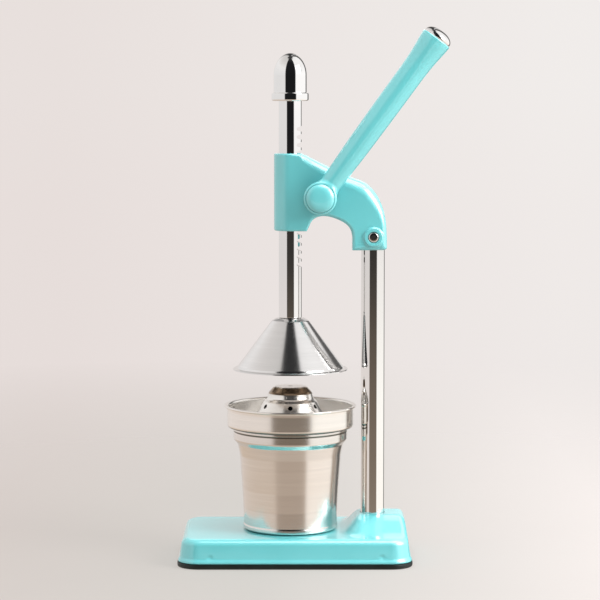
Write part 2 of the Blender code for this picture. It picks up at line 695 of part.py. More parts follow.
def make_lever_fixings():
    """Washer, socket screw and cover in the front of the hub."""
    washer = tube("lever_washer", 2.6, 7.2, -32.4, -31.3, SEG_SMALL, AT_PIVOT)
    finish(washer, ZINC, PIVOT_ORIGIN)
    profile = [
        (0, -36.4), (3.6, -36.4), (4.4, -35.6), (4.4, -32.6), (2.1, -32.6), (2.1, -17.0),
        (0, -17.0),
    ]
    screw = turned("lever_screw", profile, SEG_SMALL, AT_PIVOT)
    cut(screw, rod("hex", 2.1, -40, -34.2, SEG_HEX, AT_PIVOT))
    finish(screw, ZINC, PIVOT_ORIGIN)
    cap = [
        (0, -37.3), (12.6, -37.3), (13.0, -37.7), (13.0, -40.8), (12.4, -42.1), (10.9, -43.1),
        (8.0, -43.8), (4.4, -44.2), (0, -44.3),
    ]
    finish(turned("hub_cap", cap, SEG_MID, AT_PIVOT), ENAMEL, PIVOT_ORIGIN)


# ---- strainer with reamer -------------------------------------------------------------------
# Stepped reamer from its crown down to the bowl's floor, as (radius, z).
REAMER_UPPER = [
    (1.6, REAMER_TOP_Z - 0.1), (13.8, REAMER_TOP_Z), (15.2, REAMER_TOP_Z - 0.5), (18.9, 156.9),
    (19.4, 156.2), (20.5, 154.0), (20.9, 153.4), (21.6, 150.4), (22.6, 149.0), (24.3, 147.3),
    (25.2, 146.2), (26.5, 144.0), (28.0, 141.3), (29.4, 138.9), (31.2, 136.3), (34.6, 133.3),
    (39.5, 130.4), (44.6, 127.6), (47.6, 125.9),
]
# Its underside, from the foot up to the crown.
REAMER_UNDER = [
    (46.8, 124.9), (44.0, 126.6), (38.9, 129.4), (33.8, 132.4), (30.3, 135.5), (28.4, 138.3),
    (27.0, 140.7), (25.5, 143.4), (24.2, 145.6), (23.5, 146.4), (21.8, 148.1), (20.5, 149.9),
    (19.8, 153.0), (19.3, 153.6), (18.2, 155.9), (14.6, REAMER_TOP_Z - 1.7),
    (13.6, REAMER_TOP_Z - SHEET),
]
# Rows of six holes: radius, z, angle of the first hole, tilt of the hole's axis above level.
HOLE_ROWS = ((26.8, 143.5, -90.0, 30.0), (36.9, 131.9, -60.0, 59.0))


def strainer_profile():
    wall, rim, floor = STRAINER_WALL_R, STRAINER_RIM_Z, STRAINER_FLOOR_Z
    bowl_upper = [
        (50.0, floor + SHEET + 0.1), (wall - 5.0, floor + SHEET),
        (wall - SHEET - 0.8, floor + SHEET + 1.9), (wall - SHEET, floor + 4.8),
        (wall - SHEET, rim - 1.6), (wall + 0.2, rim), (STRAINER_RIM_R - 0.5, rim),
        (STRAINER_RIM_R, rim - 0.7), (STRAINER_RIM_R - 0.4, rim - 1.8), (wall, rim - 2.2),
    ]
    bowl_under = [   # with a short rib that hangs inside the cup's lip
        (wall, floor + 4.4), (wall - 1.2, floor + 1.2), (wall - 4.4, floor), (51.2, floor),
        (50.4, floor - 4.0), (49.2, floor - 4.2), (48.6, floor - 0.6),
    ]
    crown = [(0, REAMER_TOP_Z - 0.7)]
    crown_under = [(0, REAMER_TOP_Z - SHEET - 0.5)]
    return crown + REAMER_UPPER + bowl_upper + bowl_under + REAMER_UNDER + crown_under


def make_strainer():
    strainer = turned("strainer", strainer_profile(), SEG_BIG, AT_AXIS)
    for radius, height, phase, tilt in HOLE_ROWS:
        lean = math.radians(tilt)
        for k in range(6):
            angle = math.radians(phase + 60.0 * k)
            across, along = math.cos(angle), math.sin(angle)
            outward = Vector((across * math.cos(lean), along * math.cos(lean), math.sin(lean)))
            turn = outward.to_track_quat("Z", "Y").to_matrix().to_4x4()
            spot = Matrix.Translation((AXIS_X + radius * across, radius * along, height)) @ turn
            cut(strainer, rod("hole", HOLE_R, -4, 4, SEG_HOLE, spot))
    finish(strainer, SATIN, STRAINER_ORIGIN)


# ---- juice cup ------------------------------------------------------------------------------
def make_cup():
    foot, lip = CUP_Z0, CUP_LIP_Z
    outer = [
        (0, foot + 1.6), (36.0, foot + 1.6), (38.4, foot), (41.4, foot), (43.6, foot + 1.2),
        (43.9, foot + 3.4), (44.1, foot + 20.0), (45.0, foot + 38.0), (46.4, foot + 57.0),
        (47.3, foot + 70.0), (48.1, foot + 74.0), (48.9, foot + 78.2), (49.7, foot + 80.9),
        (52.9, foot + 84.7), (53.2, foot + 86.6), (52.9, lip - 2.4), (CUP_LIP_R, lip - 1.8),
        (CUP_LIP_R, lip - 0.5), (CUP_LIP_R - 0.6, lip),
    ]
    inner = [
        (52.2, lip - 0.1), (51.7, lip - 1.6), (52.0, foot + 86.9), (51.7, foot + 85.3),
        (48.5, foot + 81.5), (47.7, foot + 78.5), (46.9, foot + 74.2), (46.1, foot + 70.2),
        (45.2, foot + 57.2), (43.8, foot + 38.2), (42.9, foot + 20.2), (42.7, foot + 5.0),
        (41.2, foot + 3.2), (37.0, foot + 2.8), (0, foot + 2.8),
    ]
    finish(turned("cup", outer + inner, SEG_BIG, AT_AXIS), SATIN, CUP_ORIGIN)


make_base()
make_pad()
make_post()
make_post_fixings()
make_head()
make_head_screw()
make_bushings()
make_rack_shaft()
make_knob()
make_cone()
make_cone_fixings()
make_pinion()
make_pinion_shaft()
make_pinion_fixings()
make_lever()
make_lever_end_cap()
make_lever_fixings()
make_strainer()
make_cup()
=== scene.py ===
"""Looks for a manual lever citrus press: meshes, procedural finishes, studio light and camera.

The press stands on z = 0: +X runs from the ram to the post, +Y to the rear, +Z up.
Pieces are drawn in millimetres and scaled to metres; lights, camera and floor are in metres.
"""
import math

import bmesh
import bpy
import numpy as np
from mathutils import Matrix, Vector


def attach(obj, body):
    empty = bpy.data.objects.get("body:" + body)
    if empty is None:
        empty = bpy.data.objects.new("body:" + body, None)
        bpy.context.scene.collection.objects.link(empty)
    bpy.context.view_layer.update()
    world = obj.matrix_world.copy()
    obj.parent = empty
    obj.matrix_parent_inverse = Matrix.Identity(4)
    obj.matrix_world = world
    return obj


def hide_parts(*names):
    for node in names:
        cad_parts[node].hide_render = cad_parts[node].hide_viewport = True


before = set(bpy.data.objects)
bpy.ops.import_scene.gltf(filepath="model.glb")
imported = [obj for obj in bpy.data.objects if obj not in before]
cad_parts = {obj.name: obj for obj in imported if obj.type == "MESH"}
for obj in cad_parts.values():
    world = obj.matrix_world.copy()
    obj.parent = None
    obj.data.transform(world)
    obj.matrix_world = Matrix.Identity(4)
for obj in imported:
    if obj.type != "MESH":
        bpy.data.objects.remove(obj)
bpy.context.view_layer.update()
MM = 0.001

# Shared sizes and places, in millimetres.
RAM_X = -4.4  # axis of the ram, cone, strainer and cup
POST_X = 72.7
POST_RADIUS = 11.0
POST_SOCKET = POST_RADIUS + 0.25
PIVOT_X, PIVOT_Z = 23.2, 338.6  # axis of the lever and pinion
BASE_HALF_X, BASE_HALF_Y, BASE_CORNER = 108.0, 66.0, 20.0
BASE_TOP, PAD_TOP = 26.8, 4.6
SCREW_Z = 301.5
LEVER_ANGLE = math.radians(53.9)  # arm above the horizontal
LEVER_Y = -31.0
ARM_END = 180.2  # from the pivot, along the arm
RACK_PITCH, NOTCHES, PINION_TEETH = 7.40, 18, 16
PITCH_RADIUS = PINION_TEETH * RACK_PITCH / (2 * math.pi)

AT_RAM = Matrix.Translation((RAM_X, 0, 0))
AT_POST = Matrix.Translation((POST_X, 0, 0))
AT_PIVOT = Matrix.Translation((PIVOT_X, 0, PIVOT_Z)) @ Matrix.Rotation(math.radians(-90), 4, "X")
AT_SCREW = Matrix.Translation((POST_X, 0, SCREW_Z)) @ Matrix.Rotation(math.radians(90), 4, "X")
AT_ARM = Matrix.Translation((PIVOT_X, LEVER_Y, PIVOT_Z)) @ Matrix.Rotation(
    math.radians(90) - LEVER_ANGLE, 4, "Y"
)

COARSENESS = 1.0  # scales the casting grids


# ==== outlines ===============================================================================
def stretches(points, closed):
    """Pairs of neighbours, including last to first when closed."""
    return list(zip(points, points[1:])) + ([(points[-1], points[0])] if closed else [])


def round_corners(rows, steps=6, closed=False):
    """Turns rows of (a, b, corner radius) into an outline of (a, b) with arcs at its corners."""
    points = [np.array(row[:2], float) for row in rows]
    last = len(points) - 1
    out = []
    for i, corner in enumerate(points):
        radius = rows[i][2]
        if radius <= 0 or (not closed and i in (0, last)):
            out.append(tuple(corner))
            continue
        back = points[i - 1] - corner
        ahead = points[(i + 1) % len(points)] - corner
        back_length, ahead_length = np.linalg.norm(back), np.linalg.norm(ahead)
        back, ahead = back / back_length, ahead / ahead_length
        half = math.acos(float(np.clip(back @ ahead, -0.99999, 0.99999))) / 2
        if half > math.radians(89.0):
            out.append(tuple(corner))
            continue
        reach = min(radius / math.tan(half), 0.49 * back_length, 0.49 * ahead_length)
        radius = reach * math.tan(half)
        middle = back + ahead
        centre = corner + middle / np.linalg.norm(middle) * radius / math.sin(half)
        first, final = corner + back * reach - centre, corner + ahead * reach - centre
        cosine = first @ final / (np.linalg.norm(first) * np.linalg.norm(final))
        sweep = math.acos(float(np.clip(cosine, -1, 1)))
        side = 1.0 if first[0] * final[1] - first[1] * final[0] > 0 else -1.0
        for k in range(steps + 1):
            angle = side * sweep * k / steps
            cos, sin = math.cos(angle), math.sin(angle)
            out.append((
                centre[0] + first[0] * cos - first[1] * sin,
                centre[1] + first[0] * sin + first[1] * cos,
            ))
    return out


def subdivide(profile, longest, closed=False):
    """Adds points so that no stretch of the profile is longer than longest."""
    out = []
    for start, end in stretches(profile, closed):
        length = math.hypot(end[0] - start[0], end[1] - start[1])
        parts = max(1, int(math.ceil(length / longest)))
        out += [
            (start[0] + (end[0] - start[0]) * k / parts, start[1] + (end[1] - start[1]) * k / parts)
            for k in range(parts)
        ]
    if not closed:
        out.append(profile[-1])
    return out


def held(profile, gap, closed=False):
    """Adds a point near each end of long stretches, to keep rounded edges narrow in shading."""
    out = []
    for start, end in stretches(profile, closed):
        out.append(start)
        length = math.hypot(end[0] - start[0], end[1] - start[1])
        if length > 3.0 * gap:
            for part in (gap / length, 1.0 - gap / length):
                out.append((
                    start[0] + (end[0] - start[0]) * part,
                    start[1] + (end[1] - start[1]) * part,
                ))
    if not closed:
        out.append(profile[-1])
    return out


def spline(points, steps):
    """A smooth open curve through the points (centripetal Catmull-Rom)."""
    points = [np.array(point, float) for point in points]
    points = [2 * points[0] - points[1]] + points + [2 * points[-1] - points[-2]]
    # knots that each round of blending runs between
    rounds = (((0, 1), (1, 2), (2, 3)), ((0, 2), (1, 3)), ((1, 2),))
    out = []
    for i in range(1, len(points) - 2):
        window = points[i - 1 : i + 3]
        knots = [0.0]
        for start, end in zip(window, window[1:]):
            knots.append(knots[-1] + np.linalg.norm(end - start) ** 0.5)
        for k in range(steps):
            at = knots[1] + (knots[2] - knots[1]) * k / steps
            level = window
            for pairs in rounds:
                level = [
                    (knots[high] - at) / (knots[high] - knots[low]) * start
                    + (at - knots[low]) / (knots[high] - knots[low]) * end
                    for (low, high), start, end in zip(pairs, level, level[1:])
                ]
            out.append(tuple(level[0]))
    out.append(tuple(points[-2]))
    return out


def dome(radius, base, height, power, step):
    """The upper part of a domed profile, from just above base to the axis, every step degrees."""
    angles = [math.radians(degrees) for degrees in range(step, 90, step)]
    curve = [(radius * math.cos(a) ** power, base + height * math.sin(a)) for a in angles]
    return curve + [(0, base + height)]


# ==== meshes =================================================================================
def new_object(name, points, faces):
    """A smooth-shaded mesh object from points in millimetres."""
    mesh = bpy.data.meshes.new(name)
    points = (np.asarray(points, float) * MM).tolist()
    mesh.from_pydata(points, [], [tuple(int(i) for i in face) for face in faces])
    mesh.update()
    for face in mesh.polygons:
        face.use_smooth = True
    obj = bpy.data.objects.new(name, mesh)
    bpy.context.scene.collection.objects.link(obj)
    return obj


def outward(obj):
    """Turns the faces of a closed mesh outwards."""
    edit = bmesh.new()
    edit.from_mesh(obj.data)
    bmesh.ops.recalc_face_normals(edit, faces=edit.faces)
    if edit.calc_volume(signed=True) < 0:
        bmesh.ops.reverse_faces(edit, faces=edit.faces)
    edit.to_mesh(obj.data)
    edit.free()


def sharpen(obj, degrees):
    obj.data.set_sharp_from_angle(angle=math.radians(degrees))


def lathe(name, profile, segments, closed=False, place=AT_RAM, sharp=32.0):
    """Turns a profile of (radius, z) about local Z; open profiles start and end on the axis."""
    place = np.array(place, float)
    angles = np.arange(segments) * 2 * math.pi / segments
    points, rings = [], []
    for radius, z in profile:
        if radius < 1e-6:
            rings.append([len(points)])
            points.append((0.0, 0.0, z))
        else:
            rings.append(list(range(len(points), len(points) + segments)))
            points += [(radius * math.cos(angle), radius * math.sin(angle), z) for angle in angles]
    points = np.array(points, float) @ place[:3, :3].T + place[:3, 3]
    faces = []
    for ring, other in stretches(rings, closed):
        for i in range(segments):
            j = (i + 1) % segments
            if len(ring) == 1:
                faces.append((ring[0], other[i], other[j]))
            elif len(other) == 1:
                faces.append((ring[i], ring[j], other[0]))
            else:
                faces.append((ring[i], ring[j], other[j], other[i]))
    obj = new_object(name, points, faces)
    outward(obj)
    if sharp:
        sharpen(obj, sharp)
    return obj


def rod(name, radius, low, high, segments, place=AT_RAM):
    """A plain cylinder or prism, for cutting with."""
    profile = [(0, low), (radius, low), (radius, high), (0, high)]
    return lathe(name, profile, segments, place=place)


def cut(obj, *tools):
    """Applies exact Boolean differences and removes the tools."""
    for tool in tools:
        modifier = obj.modifiers.new("cut", "BOOLEAN")
        modifier.operation = "DIFFERENCE"
        modifier.solver = "EXACT"
        modifier.object = tool
    bpy.context.view_layer.update()
    evaluated = obj.evaluated_get(bpy.context.evaluated_depsgraph_get())
    mesh = bpy.data.meshes.new_from_object(evaluated)
    obj.modifiers.clear()
    obj.data = mesh
    for tool in tools:
        bpy.data.objects.remove(tool, do_unlink=True)


def cut_hex(obj, radius, low, high, place):
    """Cuts a hexagonal recess, radius measured to its corners."""
    cut(obj, rod("hex_tool", radius, low, high, 6, place))
    sharpen(obj, 35)


def fetch(items, attribute, width=1, kind=float):
    """An attribute of every mesh item as an array."""
    values = np.zeros(len(items) * width, kind)
    items.foreach_get(attribute, values)
    return values.reshape(-1, width) if width > 1 else values


def turned_normals(profile, points):
    """Normals, at points near its surface, of an open profile turned about the ram axis.

    They are blended along the profile wherever it bends gently.
    """
    profile = np.array(profile, float)
    starts = profile[:-1]
    spans = profile[1:] - starts
    lengths = np.maximum(np.linalg.norm(spans, axis=1), 1e-9)
    flat = np.stack([spans[:, 1], -spans[:, 0]], 1) / lengths[:, None]
    following = np.roll(profile, -1, 0)
    if np.sum(profile[:, 0] * following[:, 1] - following[:, 0] * profile[:, 1]) < 0:
        flat = -flat
    x, y, z = points[:, 0] - RAM_X, points[:, 1], points[:, 2]
    radius = np.hypot(x, y)
    section = np.stack([radius, z], 1)
    best = np.full(len(section), 1e9)
    normals = np.zeros((len(section), 2))
    for i in range(len(flat)):
        part = np.clip(((section - starts[i]) @ spans[i]) / lengths[i] ** 2, 0, 1)
        away = np.linalg.norm(section - (starts[i] + part[:, None] * spans[i]), axis=1)
        near = away < best - 1e-7
        ends = []
        for neighbour in (flat[i - 1], flat[(i + 1) % len(flat)]):
            end = flat[i] + (neighbour if neighbour @ flat[i] > 0.9 else flat[i])
            ends.append(end / np.linalg.norm(end))
        blend = ends[0] + (ends[1] - ends[0]) * part[:, None]
        normals[near] = blend[near]
        best = np.minimum(best, away)
    normals /= np.maximum(np.linalg.norm(normals, axis=1), 1e-9)[:, None]
    safe = np.maximum(radius, 1e-6)
    return np.stack([normals[:, 0] * x / safe, normals[:, 0] * y / safe, normals[:, 1]], 1)


def shade_as_turned(obj, profile, limit):
    """Shades a cut body as turned; corners over limit degrees away keep their face's normal."""
    mesh = obj.data
    vertex_of = fetch(mesh.loops, "vertex_index", kind=np.int32)
    points = fetch(mesh.vertices, "co", 3) / MM
    face_normals = fetch(mesh.polygons, "normal", 3)
    totals = fetch(mesh.polygons, "loop_total", kind=np.int32)
    flat = face_normals[np.repeat(np.arange(len(totals)), totals)]
    turned = turned_normals(profile, points)[vertex_of]
    agree = (turned * flat).sum(1) > math.cos(math.radians(limit))
    for face in mesh.polygons:
        face.use_smooth = True
    final = np.where(agree[:, None], turned, flat)
    mesh.normals_split_custom_set([tuple(normal) for normal in final])


# ==== castings: signed fields, negative inside, meshed on a grid =============================
def sample_grid(field, axes):
    """Field values at every grid point, worked out in slabs along x to spare memory."""
    values = np.empty([len(axis) for axis in axes], np.float32)
    y, z = np.meshgrid(axes[1], axes[2], indexing="ij")
    slab = max(1, 400000 // y.size)
    for i in range(0, len(axes[0]), slab):
        x = axes[0][i : i + slab]
        points = np.empty((len(x), *y.shape, 3))
        points[..., 0] = x[:, None, None]
        points[..., 1] = y
        points[..., 2] = z
        values[i : i + slab] = field(points.reshape(-1, 3)).reshape(points.shape[:3])
    return values


def gradient(field, points, reach=0.04):
    slopes = np.empty_like(points)
    for k in range(3):
        offset = np.zeros(3)
        offset[k] = reach
        slopes[:, k] = (field(points + offset) - field(points - offset)) / (2 * reach)
    return slopes


def surface_net(name, field, low, high, step):
    """Meshes field = 0 with a vertex per crossed cell, and the gradient as shading normal."""
    low, high = np.array(low, float), np.array(high, float)
    counts = np.ceil((high - low) / step).astype(int) + 1
    values = sample_grid(field, [low[i] + step * np.arange(counts[i]) for i in range(3)])
    inside = values < 0
    cells = tuple(counts - 1)
    total = np.zeros((*cells, 3), np.float32)
    hits = np.zeros(cells, np.int16)
    edges = []  # per axis: the four cells round each crossed grid edge, and which way it faces
    for axis in range(3):
        before, after = [slice(None)] * 3, [slice(None)] * 3
        before[axis], after[axis] = slice(0, -1), slice(1, None)
        start = np.argwhere(inside[tuple(before)] != inside[tuple(after)])
        others = [k for k in range(3) if k != axis]
        for k in others:
            start = start[(start[:, k] >= 1) & (start[:, k] <= counts[k] - 2)]
        end = start.copy()
        end[:, axis] += 1
        start_value, end_value = values[tuple(start.T)], values[tuple(end.T)]
        crossing = start.astype(np.float32)
        crossing[:, axis] += start_value / (start_value - end_value)
        around = []
        for shifts in ((-1, -1), (0, -1), (0, 0), (-1, 0)):
            cell = start.copy()
            for k, shift in zip(others, shifts):
                cell[:, k] += shift
            np.add.at(total, tuple(cell.T), crossing)
            np.add.at(hits, tuple(cell.T), 1)
            around.append(cell)
        leaving = inside[tuple(start.T)]
        edges.append((around, ~leaving if axis == 1 else leaving))
    used = np.argwhere(hits > 0)
    number = np.full(cells, -1, np.int64)
    number[tuple(used.T)] = np.arange(len(used))
    points = total[tuple(used.T)] / hits[tuple(used.T)][:, None] * step + low
    points = points.astype(float)
    quads = []
    for around, forward in edges:
        quad = np.stack([number[tuple(cell.T)] for cell in around], 1)
        quad[~forward] = quad[~forward][:, ::-1]
        quads.append(quad)

    for _ in range(3):  # pull the vertices exactly onto the surface
        slope = gradient(field, points)
        steepness = np.maximum((slope * slope).sum(1), 0.2)
        move = field(points)[:, None] * slope / steepness[:, None]
        size = np.linalg.norm(move, axis=1)
        move *= np.minimum(1.0, 0.45 * step / np.maximum(size, 1e-9))[:, None]
        points -= move
    normals = gradient(field, points)
    normals /= np.maximum(np.linalg.norm(normals, axis=1), 1e-9)[:, None]
    obj = new_object(name, points, np.concatenate(quads))
    outward(obj)
    obj.data.normals_split_custom_set_from_vertices([tuple(normal) for normal in normals])
    return obj


def overlap(first, second, radius):
    """The overlap of two fields, with the edge between them rounded."""
    first, second = first + radius, second + radius
    corner = np.hypot(np.maximum(first, 0), np.maximum(second, 0))
    return np.minimum(np.maximum(first, second), 0) + corner - radius


def union(first, second, radius):
    """Two fields together, with a fillet between them."""
    return -overlap(-first, -second, radius)


def without(body, removed, radius):
    """The body less the removed field, with a rounded edge."""
    return overlap(body, -removed, radius)


def smoothstep(low, high, value):
    part = np.clip((value - low) / (high - low), 0, 1)
    return part * part * (3 - 2 * part)


def rounded_rect(x, y, half_x, half_y, radius):
    x, y = np.abs(x) - half_x + radius, np.abs(y) - half_y + radius
    corner = np.hypot(np.maximum(x, 0), np.maximum(y, 0))
    return corner + np.minimum(np.maximum(x, y), 0) - radius


def polygon_field(rows):
    """Signed distance to a closed outline of (a, b, radius), with the radius at its nearest spot."""
    corners, radii = rows[:, :2], rows[:, 2]
    next_corners, next_radii = np.roll(corners, -1, 0), np.roll(radii, -1)
    spans = next_corners - corners
    squares = (spans * spans).sum(1)

    def field(x, y):
        points = np.stack([x, y], 1)
        best = np.full(len(points), 1e18)
        radius = np.zeros(len(points))
        inside = np.zeros(len(points), bool)
        for i, (start, end) in enumerate(zip(corners, next_corners)):
            offset = points - start
            part = np.clip((offset @ spans[i]) / squares[i], 0, 1)
            apart = offset - part[:, None] * spans[i]
            distance = (apart * apart).sum(1)
            near = distance < best
            radius[near] = radii[i] + (next_radii[i] - radii[i]) * part[near]
            best = np.minimum(best, distance)
            if start[1] != end[1]:
                beside = (start[1] > points[:, 1]) != (end[1] > points[:, 1])
                rise = points[:, 1] - start[1]
                edge = (end[0] - start[0]) * rise / (end[1] - start[1]) + start[0]
                inside ^= beside & (points[:, 0] < edge)
        return np.where(inside, -1, 1) * np.sqrt(best), radius

    return field


# ==== base, pad and post =====================================================================
DRAFT = math.radians(8.0)
# dents low in the front side: x, z, half width, depth
DENTS = ((-77.8, 10.6, 2.4, 0.55), (79.8, 11.2, 2.6, 0.6))


def base_height(x, y):
    """The flat top, swelling by 15.4 towards the post."""
    rise = smoothstep(41.0, 62.0, x)
    across = 1.0 - smoothstep(13.0, 60.0, np.abs(y))
    return BASE_TOP + 15.4 * rise * across


def base_field(points):
    x, y, z = points.T
    inset = 1.3 * smoothstep(6.0, 9.4, z) + np.maximum(z - 8.4, 0) * math.tan(DRAFT)
    side = rounded_rect(x, y, BASE_HALF_X, BASE_HALF_Y, BASE_CORNER) + inset
    side = side * math.cos(DRAFT)
    dent = 0.0
    for dent_x, dent_z, width, depth in DENTS:
        spread = ((x - dent_x) / width) ** 2 + ((z - dent_z) / 1.7) ** 2
        dent = dent + depth * np.exp(-spread) * (y < 0)
    side = side + dent
    slope_x = base_height(x + 0.5, y) - base_height(x - 0.5, y)
    slope_y = base_height(x, y + 0.5) - base_height(x, y - 0.5)
    top = (z - base_height(x, y)) / np.sqrt(1 + slope_x**2 + slope_y**2)
    body = overlap(side, top, 5.6)
    body = overlap(body, (PAD_TOP + 0.2) - z, 0.6)
    socket = np.maximum(np.hypot(x - POST_X, y) - POST_SOCKET, 27.3 - z)
    return without(body, socket, 0.8)


def make_base():
    low, high = (-111, -69, 2), (111, 69, 47)
    return surface_net("base_casting", base_field, low, high, 1.05 * COARSENESS)


# (inset from the base's outline, z), from underside to top
PAD_RINGS = (
    (7.0, 0.0), (0.6, 0.0), (0.1, 0.15), (-0.25, 0.5), (-0.5, 1.0), (-0.6, 1.6),
    (-0.6, 3.2), (-0.5, 3.8), (-0.25, 4.25), (0.1, 4.5), (0.6, PAD_TOP), (7.0, PAD_TOP),
)


def rounded_outline(half_x, half_y, radius, steps=12):
    points = []
    for side_x, side_y, start in ((1, 1, 0), (-1, 1, 90), (-1, -1, 180), (1, -1, 270)):
        for k in range(steps + 1):
            angle = math.radians(start + 90 * k / steps)
            points.append((
                side_x * (half_x - radius) + radius * math.cos(angle),
                side_y * (half_y - radius) + radius * math.sin(angle),
            ))
    return points


def make_pad():
    points = []
    for inset, z in PAD_RINGS:
        ring = rounded_outline(BASE_HALF_X - inset, BASE_HALF_Y - inset, BASE_CORNER - inset)
        points += [(x, y, z) for x, y in ring]
    count = len(ring)
    last = len(PAD_RINGS) - 1
    faces = [
        (k * count + i, k * count + j, (k + 1) * count + j, (k + 1) * count + i)
        for k in range(last)
        for i, j in ((i, (i + 1) % count) for i in range(count))
    ]
    faces += [tuple(range(count)), tuple(last * count + i for i in range(count))]
    obj = new_object("rubber_pad", points, faces)
    outward(obj)
    sharpen(obj, 40)
    return obj


def make_post():
    inner, foot, top, edge = 9.2, 27.5, 311.0, 0.5
    rows = [
        (inner, foot, edge), (POST_RADIUS, foot, edge), (POST_RADIUS, top, edge), (inner, top, edge)
    ]
    profile = subdivide(round_corners(rows, 4, closed=True), 24.0, closed=True)
    profile = held(profile, 0.35, closed=True)
    return lathe("post_tube", profile, 192, closed=True, place=AT_POST)


# ==== head ===================================================================================
# side view: x, z, rounding radius of the edge there; from the ram end over the top to the post
HEAD_TOP = [
    (-24.0, 378.9, 1.6), (-4.4, 378.9, 1.6), (5.2, 378.8, 4.0), (9.6, 377.3, 7.0),
    (16.7, 373.6, 9.0), (31.0, 366.5, 10.2), (40.0, 362.0, 10.4), (49.6, 357.6, 10.6),
    (57.5, 354.9, 10.6), (64.6, 351.8, 10.6), (70.6, 347.0, 10.6), (75.4, 340.9, 10.6),
    (79.4, 333.6, 9.0), (82.8, 325.2, 7.4), (85.2, 315.6, 6.0), (86.5, 304.5, 5.6),
    (86.9, 289.2, 5.6),
]
# the same for the underside, back from the post to the ram end
HEAD_UNDER = [
    (53.1, 289.2, 3.2), (53.1, 301.5, 3.2), (52.1, 306.8, 3.2), (49.7, 311.2, 3.0),
    (45.9, 314.6, 3.0), (41.0, 317.3, 3.0), (35.4, 319.5, 3.0), (29.0, 320.9, 3.0),
    (23.6, 320.8, 2.8), (18.8, 319.2, 2.6), (15.4, 316.2, 2.2), (13.2, 311.8, 2.0),
    (10.9, 307.0, 1.6), (-4.4, 307.0, 1.6), (-24.0, 307.0, 1.6),
]
HEAD_HALF_WIDTH = 15.2


def smooth_rows(rows, start, stop):
    """Runs a spline through rows start to stop, radius carried along; the rest stays straight."""
    rows = np.array(rows, float)
    curve = np.array(spline(rows[start:stop, :2], 4))
    old, new = np.linspace(0, 1, stop - start), np.linspace(0, 1, len(curve))
    radii = np.interp(new, old, rows[start:stop, 2])
    return np.vstack([rows[:start], np.column_stack([curve, radii]), rows[stop:]])


head_side = polygon_field(
    np.vstack([smooth_rows(HEAD_TOP, 2, len(HEAD_TOP)), smooth_rows(HEAD_UNDER, 1, 13)])
)


def head_field(points):
    x, y, z = points.T
    side, rounding = head_side(x, z)
    # plan: round about the ram, a rounded block towards the post
    ram_end = np.where(x < RAM_X, np.hypot(x - RAM_X, y), np.abs(y)) - HEAD_HALF_WIDTH
    post_end = rounded_rect(x - 30.0, y, 56.9, HEAD_HALF_WIDTH, 6.5)
    body = overlap(side, np.where(x < 30.0, ram_end, post_end), np.clip(rounding, 1.2, 11.0))
    screw_radius = np.hypot(x - POST_X, z - SCREW_Z)
    boss = overlap(screw_radius - 8.8, np.abs(y + 10.0) - 7.3, 1.0)
    body = union(body, boss, 1.4)
    # ram bore and post socket
    body = without(body, np.hypot(x - RAM_X, y) - 11.05, 0.9)
    socket = overlap(np.hypot(x - POST_X, y) - POST_SOCKET, z - 311.4, 0.5)
    body = without(body, socket, 0.8)
    # slot about the pinion, round above the pivot and straight-sided below
    pivot_radius = np.hypot(x - PIVOT_X, z - PIVOT_Z)
    slot = np.where(z > PIVOT_Z, pivot_radius, np.abs(x - PIVOT_X)) - 21.3
    body = without(body, overlap(slot, np.abs(y) - 6.8, 0.5), 0.8)
    body = without(body, pivot_radius - 7.7, 0.7)
    # counterbore and through hole for the screw
    body = without(body, overlap(screw_radius - 5.1, y + 13.8, 0.3), 0.5)
    return without(body, overlap(screw_radius - 3.4, y + 9.0, 0.3), 0.3)


def make_head():
    low, high = (-22, -20, 286), (90, 19, 382)
    return surface_net("head_casting", head_field, low, high, 0.68 * COARSENESS)


def make_head_screw():
    rows = [
        (0, 11.2, 0), (3.0, 11.2, 0.3), (3.0, 14.0, 0.2), (4.7, 14.0, 0.2), (4.7, 17.9, 1.3),
        (0, 17.9, 0),
    ]
    obj = lathe("head_socket_screw", round_corners(rows, 7), 64, place=AT_SCREW)
    cut_hex(obj, 2.3, 15.4, 22, AT_SCREW)
    return obj


# ==== lever ==================================================================================
# (distance from the pivot, arm radius)
ARM_STATIONS = [
    (0.0, 9.3), (16.0, 9.55), (32.0, 10.1), (55.0, 10.85), (85.0, 11.35), (120.0, 11.65),
    (146.0, 11.85), (156.0, 12.3), (166.0, 13.2), (174.0, 14.1), (180.0, 14.5), (188.0, 14.6),
]
ARM_ALONG, ARM_RADII = np.array(spline(ARM_STATIONS, 8)).T.copy()
HUB_Y, HUB_RECESS = -28.9, 13.15


def lever_field(points):
    """Points are (along the arm, y, across the arm) from the lever axis."""
    along, y, across = points.T
    arm_radius = np.hypot(y - LEVER_Y, across)
    arm = arm_radius - np.interp(along, ARM_ALONG, ARM_RADII)
    arm = overlap(arm, along - ARM_END, 1.1)
    arm = np.maximum(arm, 2.0 - along)
    hub_radius = np.hypot(along, across)
    hub = overlap(hub_radius - 15.2, np.abs(y - HUB_Y) - 11.7, 2.2)
    body = union(arm, hub, 3.2)
    core = np.maximum(hub_radius - 13.0, np.abs(y - HUB_Y) - 9.6)
    body = np.minimum(body, core)
    # stepped recess in the front of the hub, then the bore right through it
    body = without(body, overlap(hub_radius - HUB_RECESS, y + 37.2, 0.3), 0.35)
    body = without(body, overlap(hub_radius - 7.6, y + 31.2, 0.2), 0.3)
    body = without(body, hub_radius - 5.2, 0.4)
    end_hole = overlap(arm_radius - 3.2, (ARM_END - 12.0) - along, 0.2)
    return without(body, end_hole, 0.3)


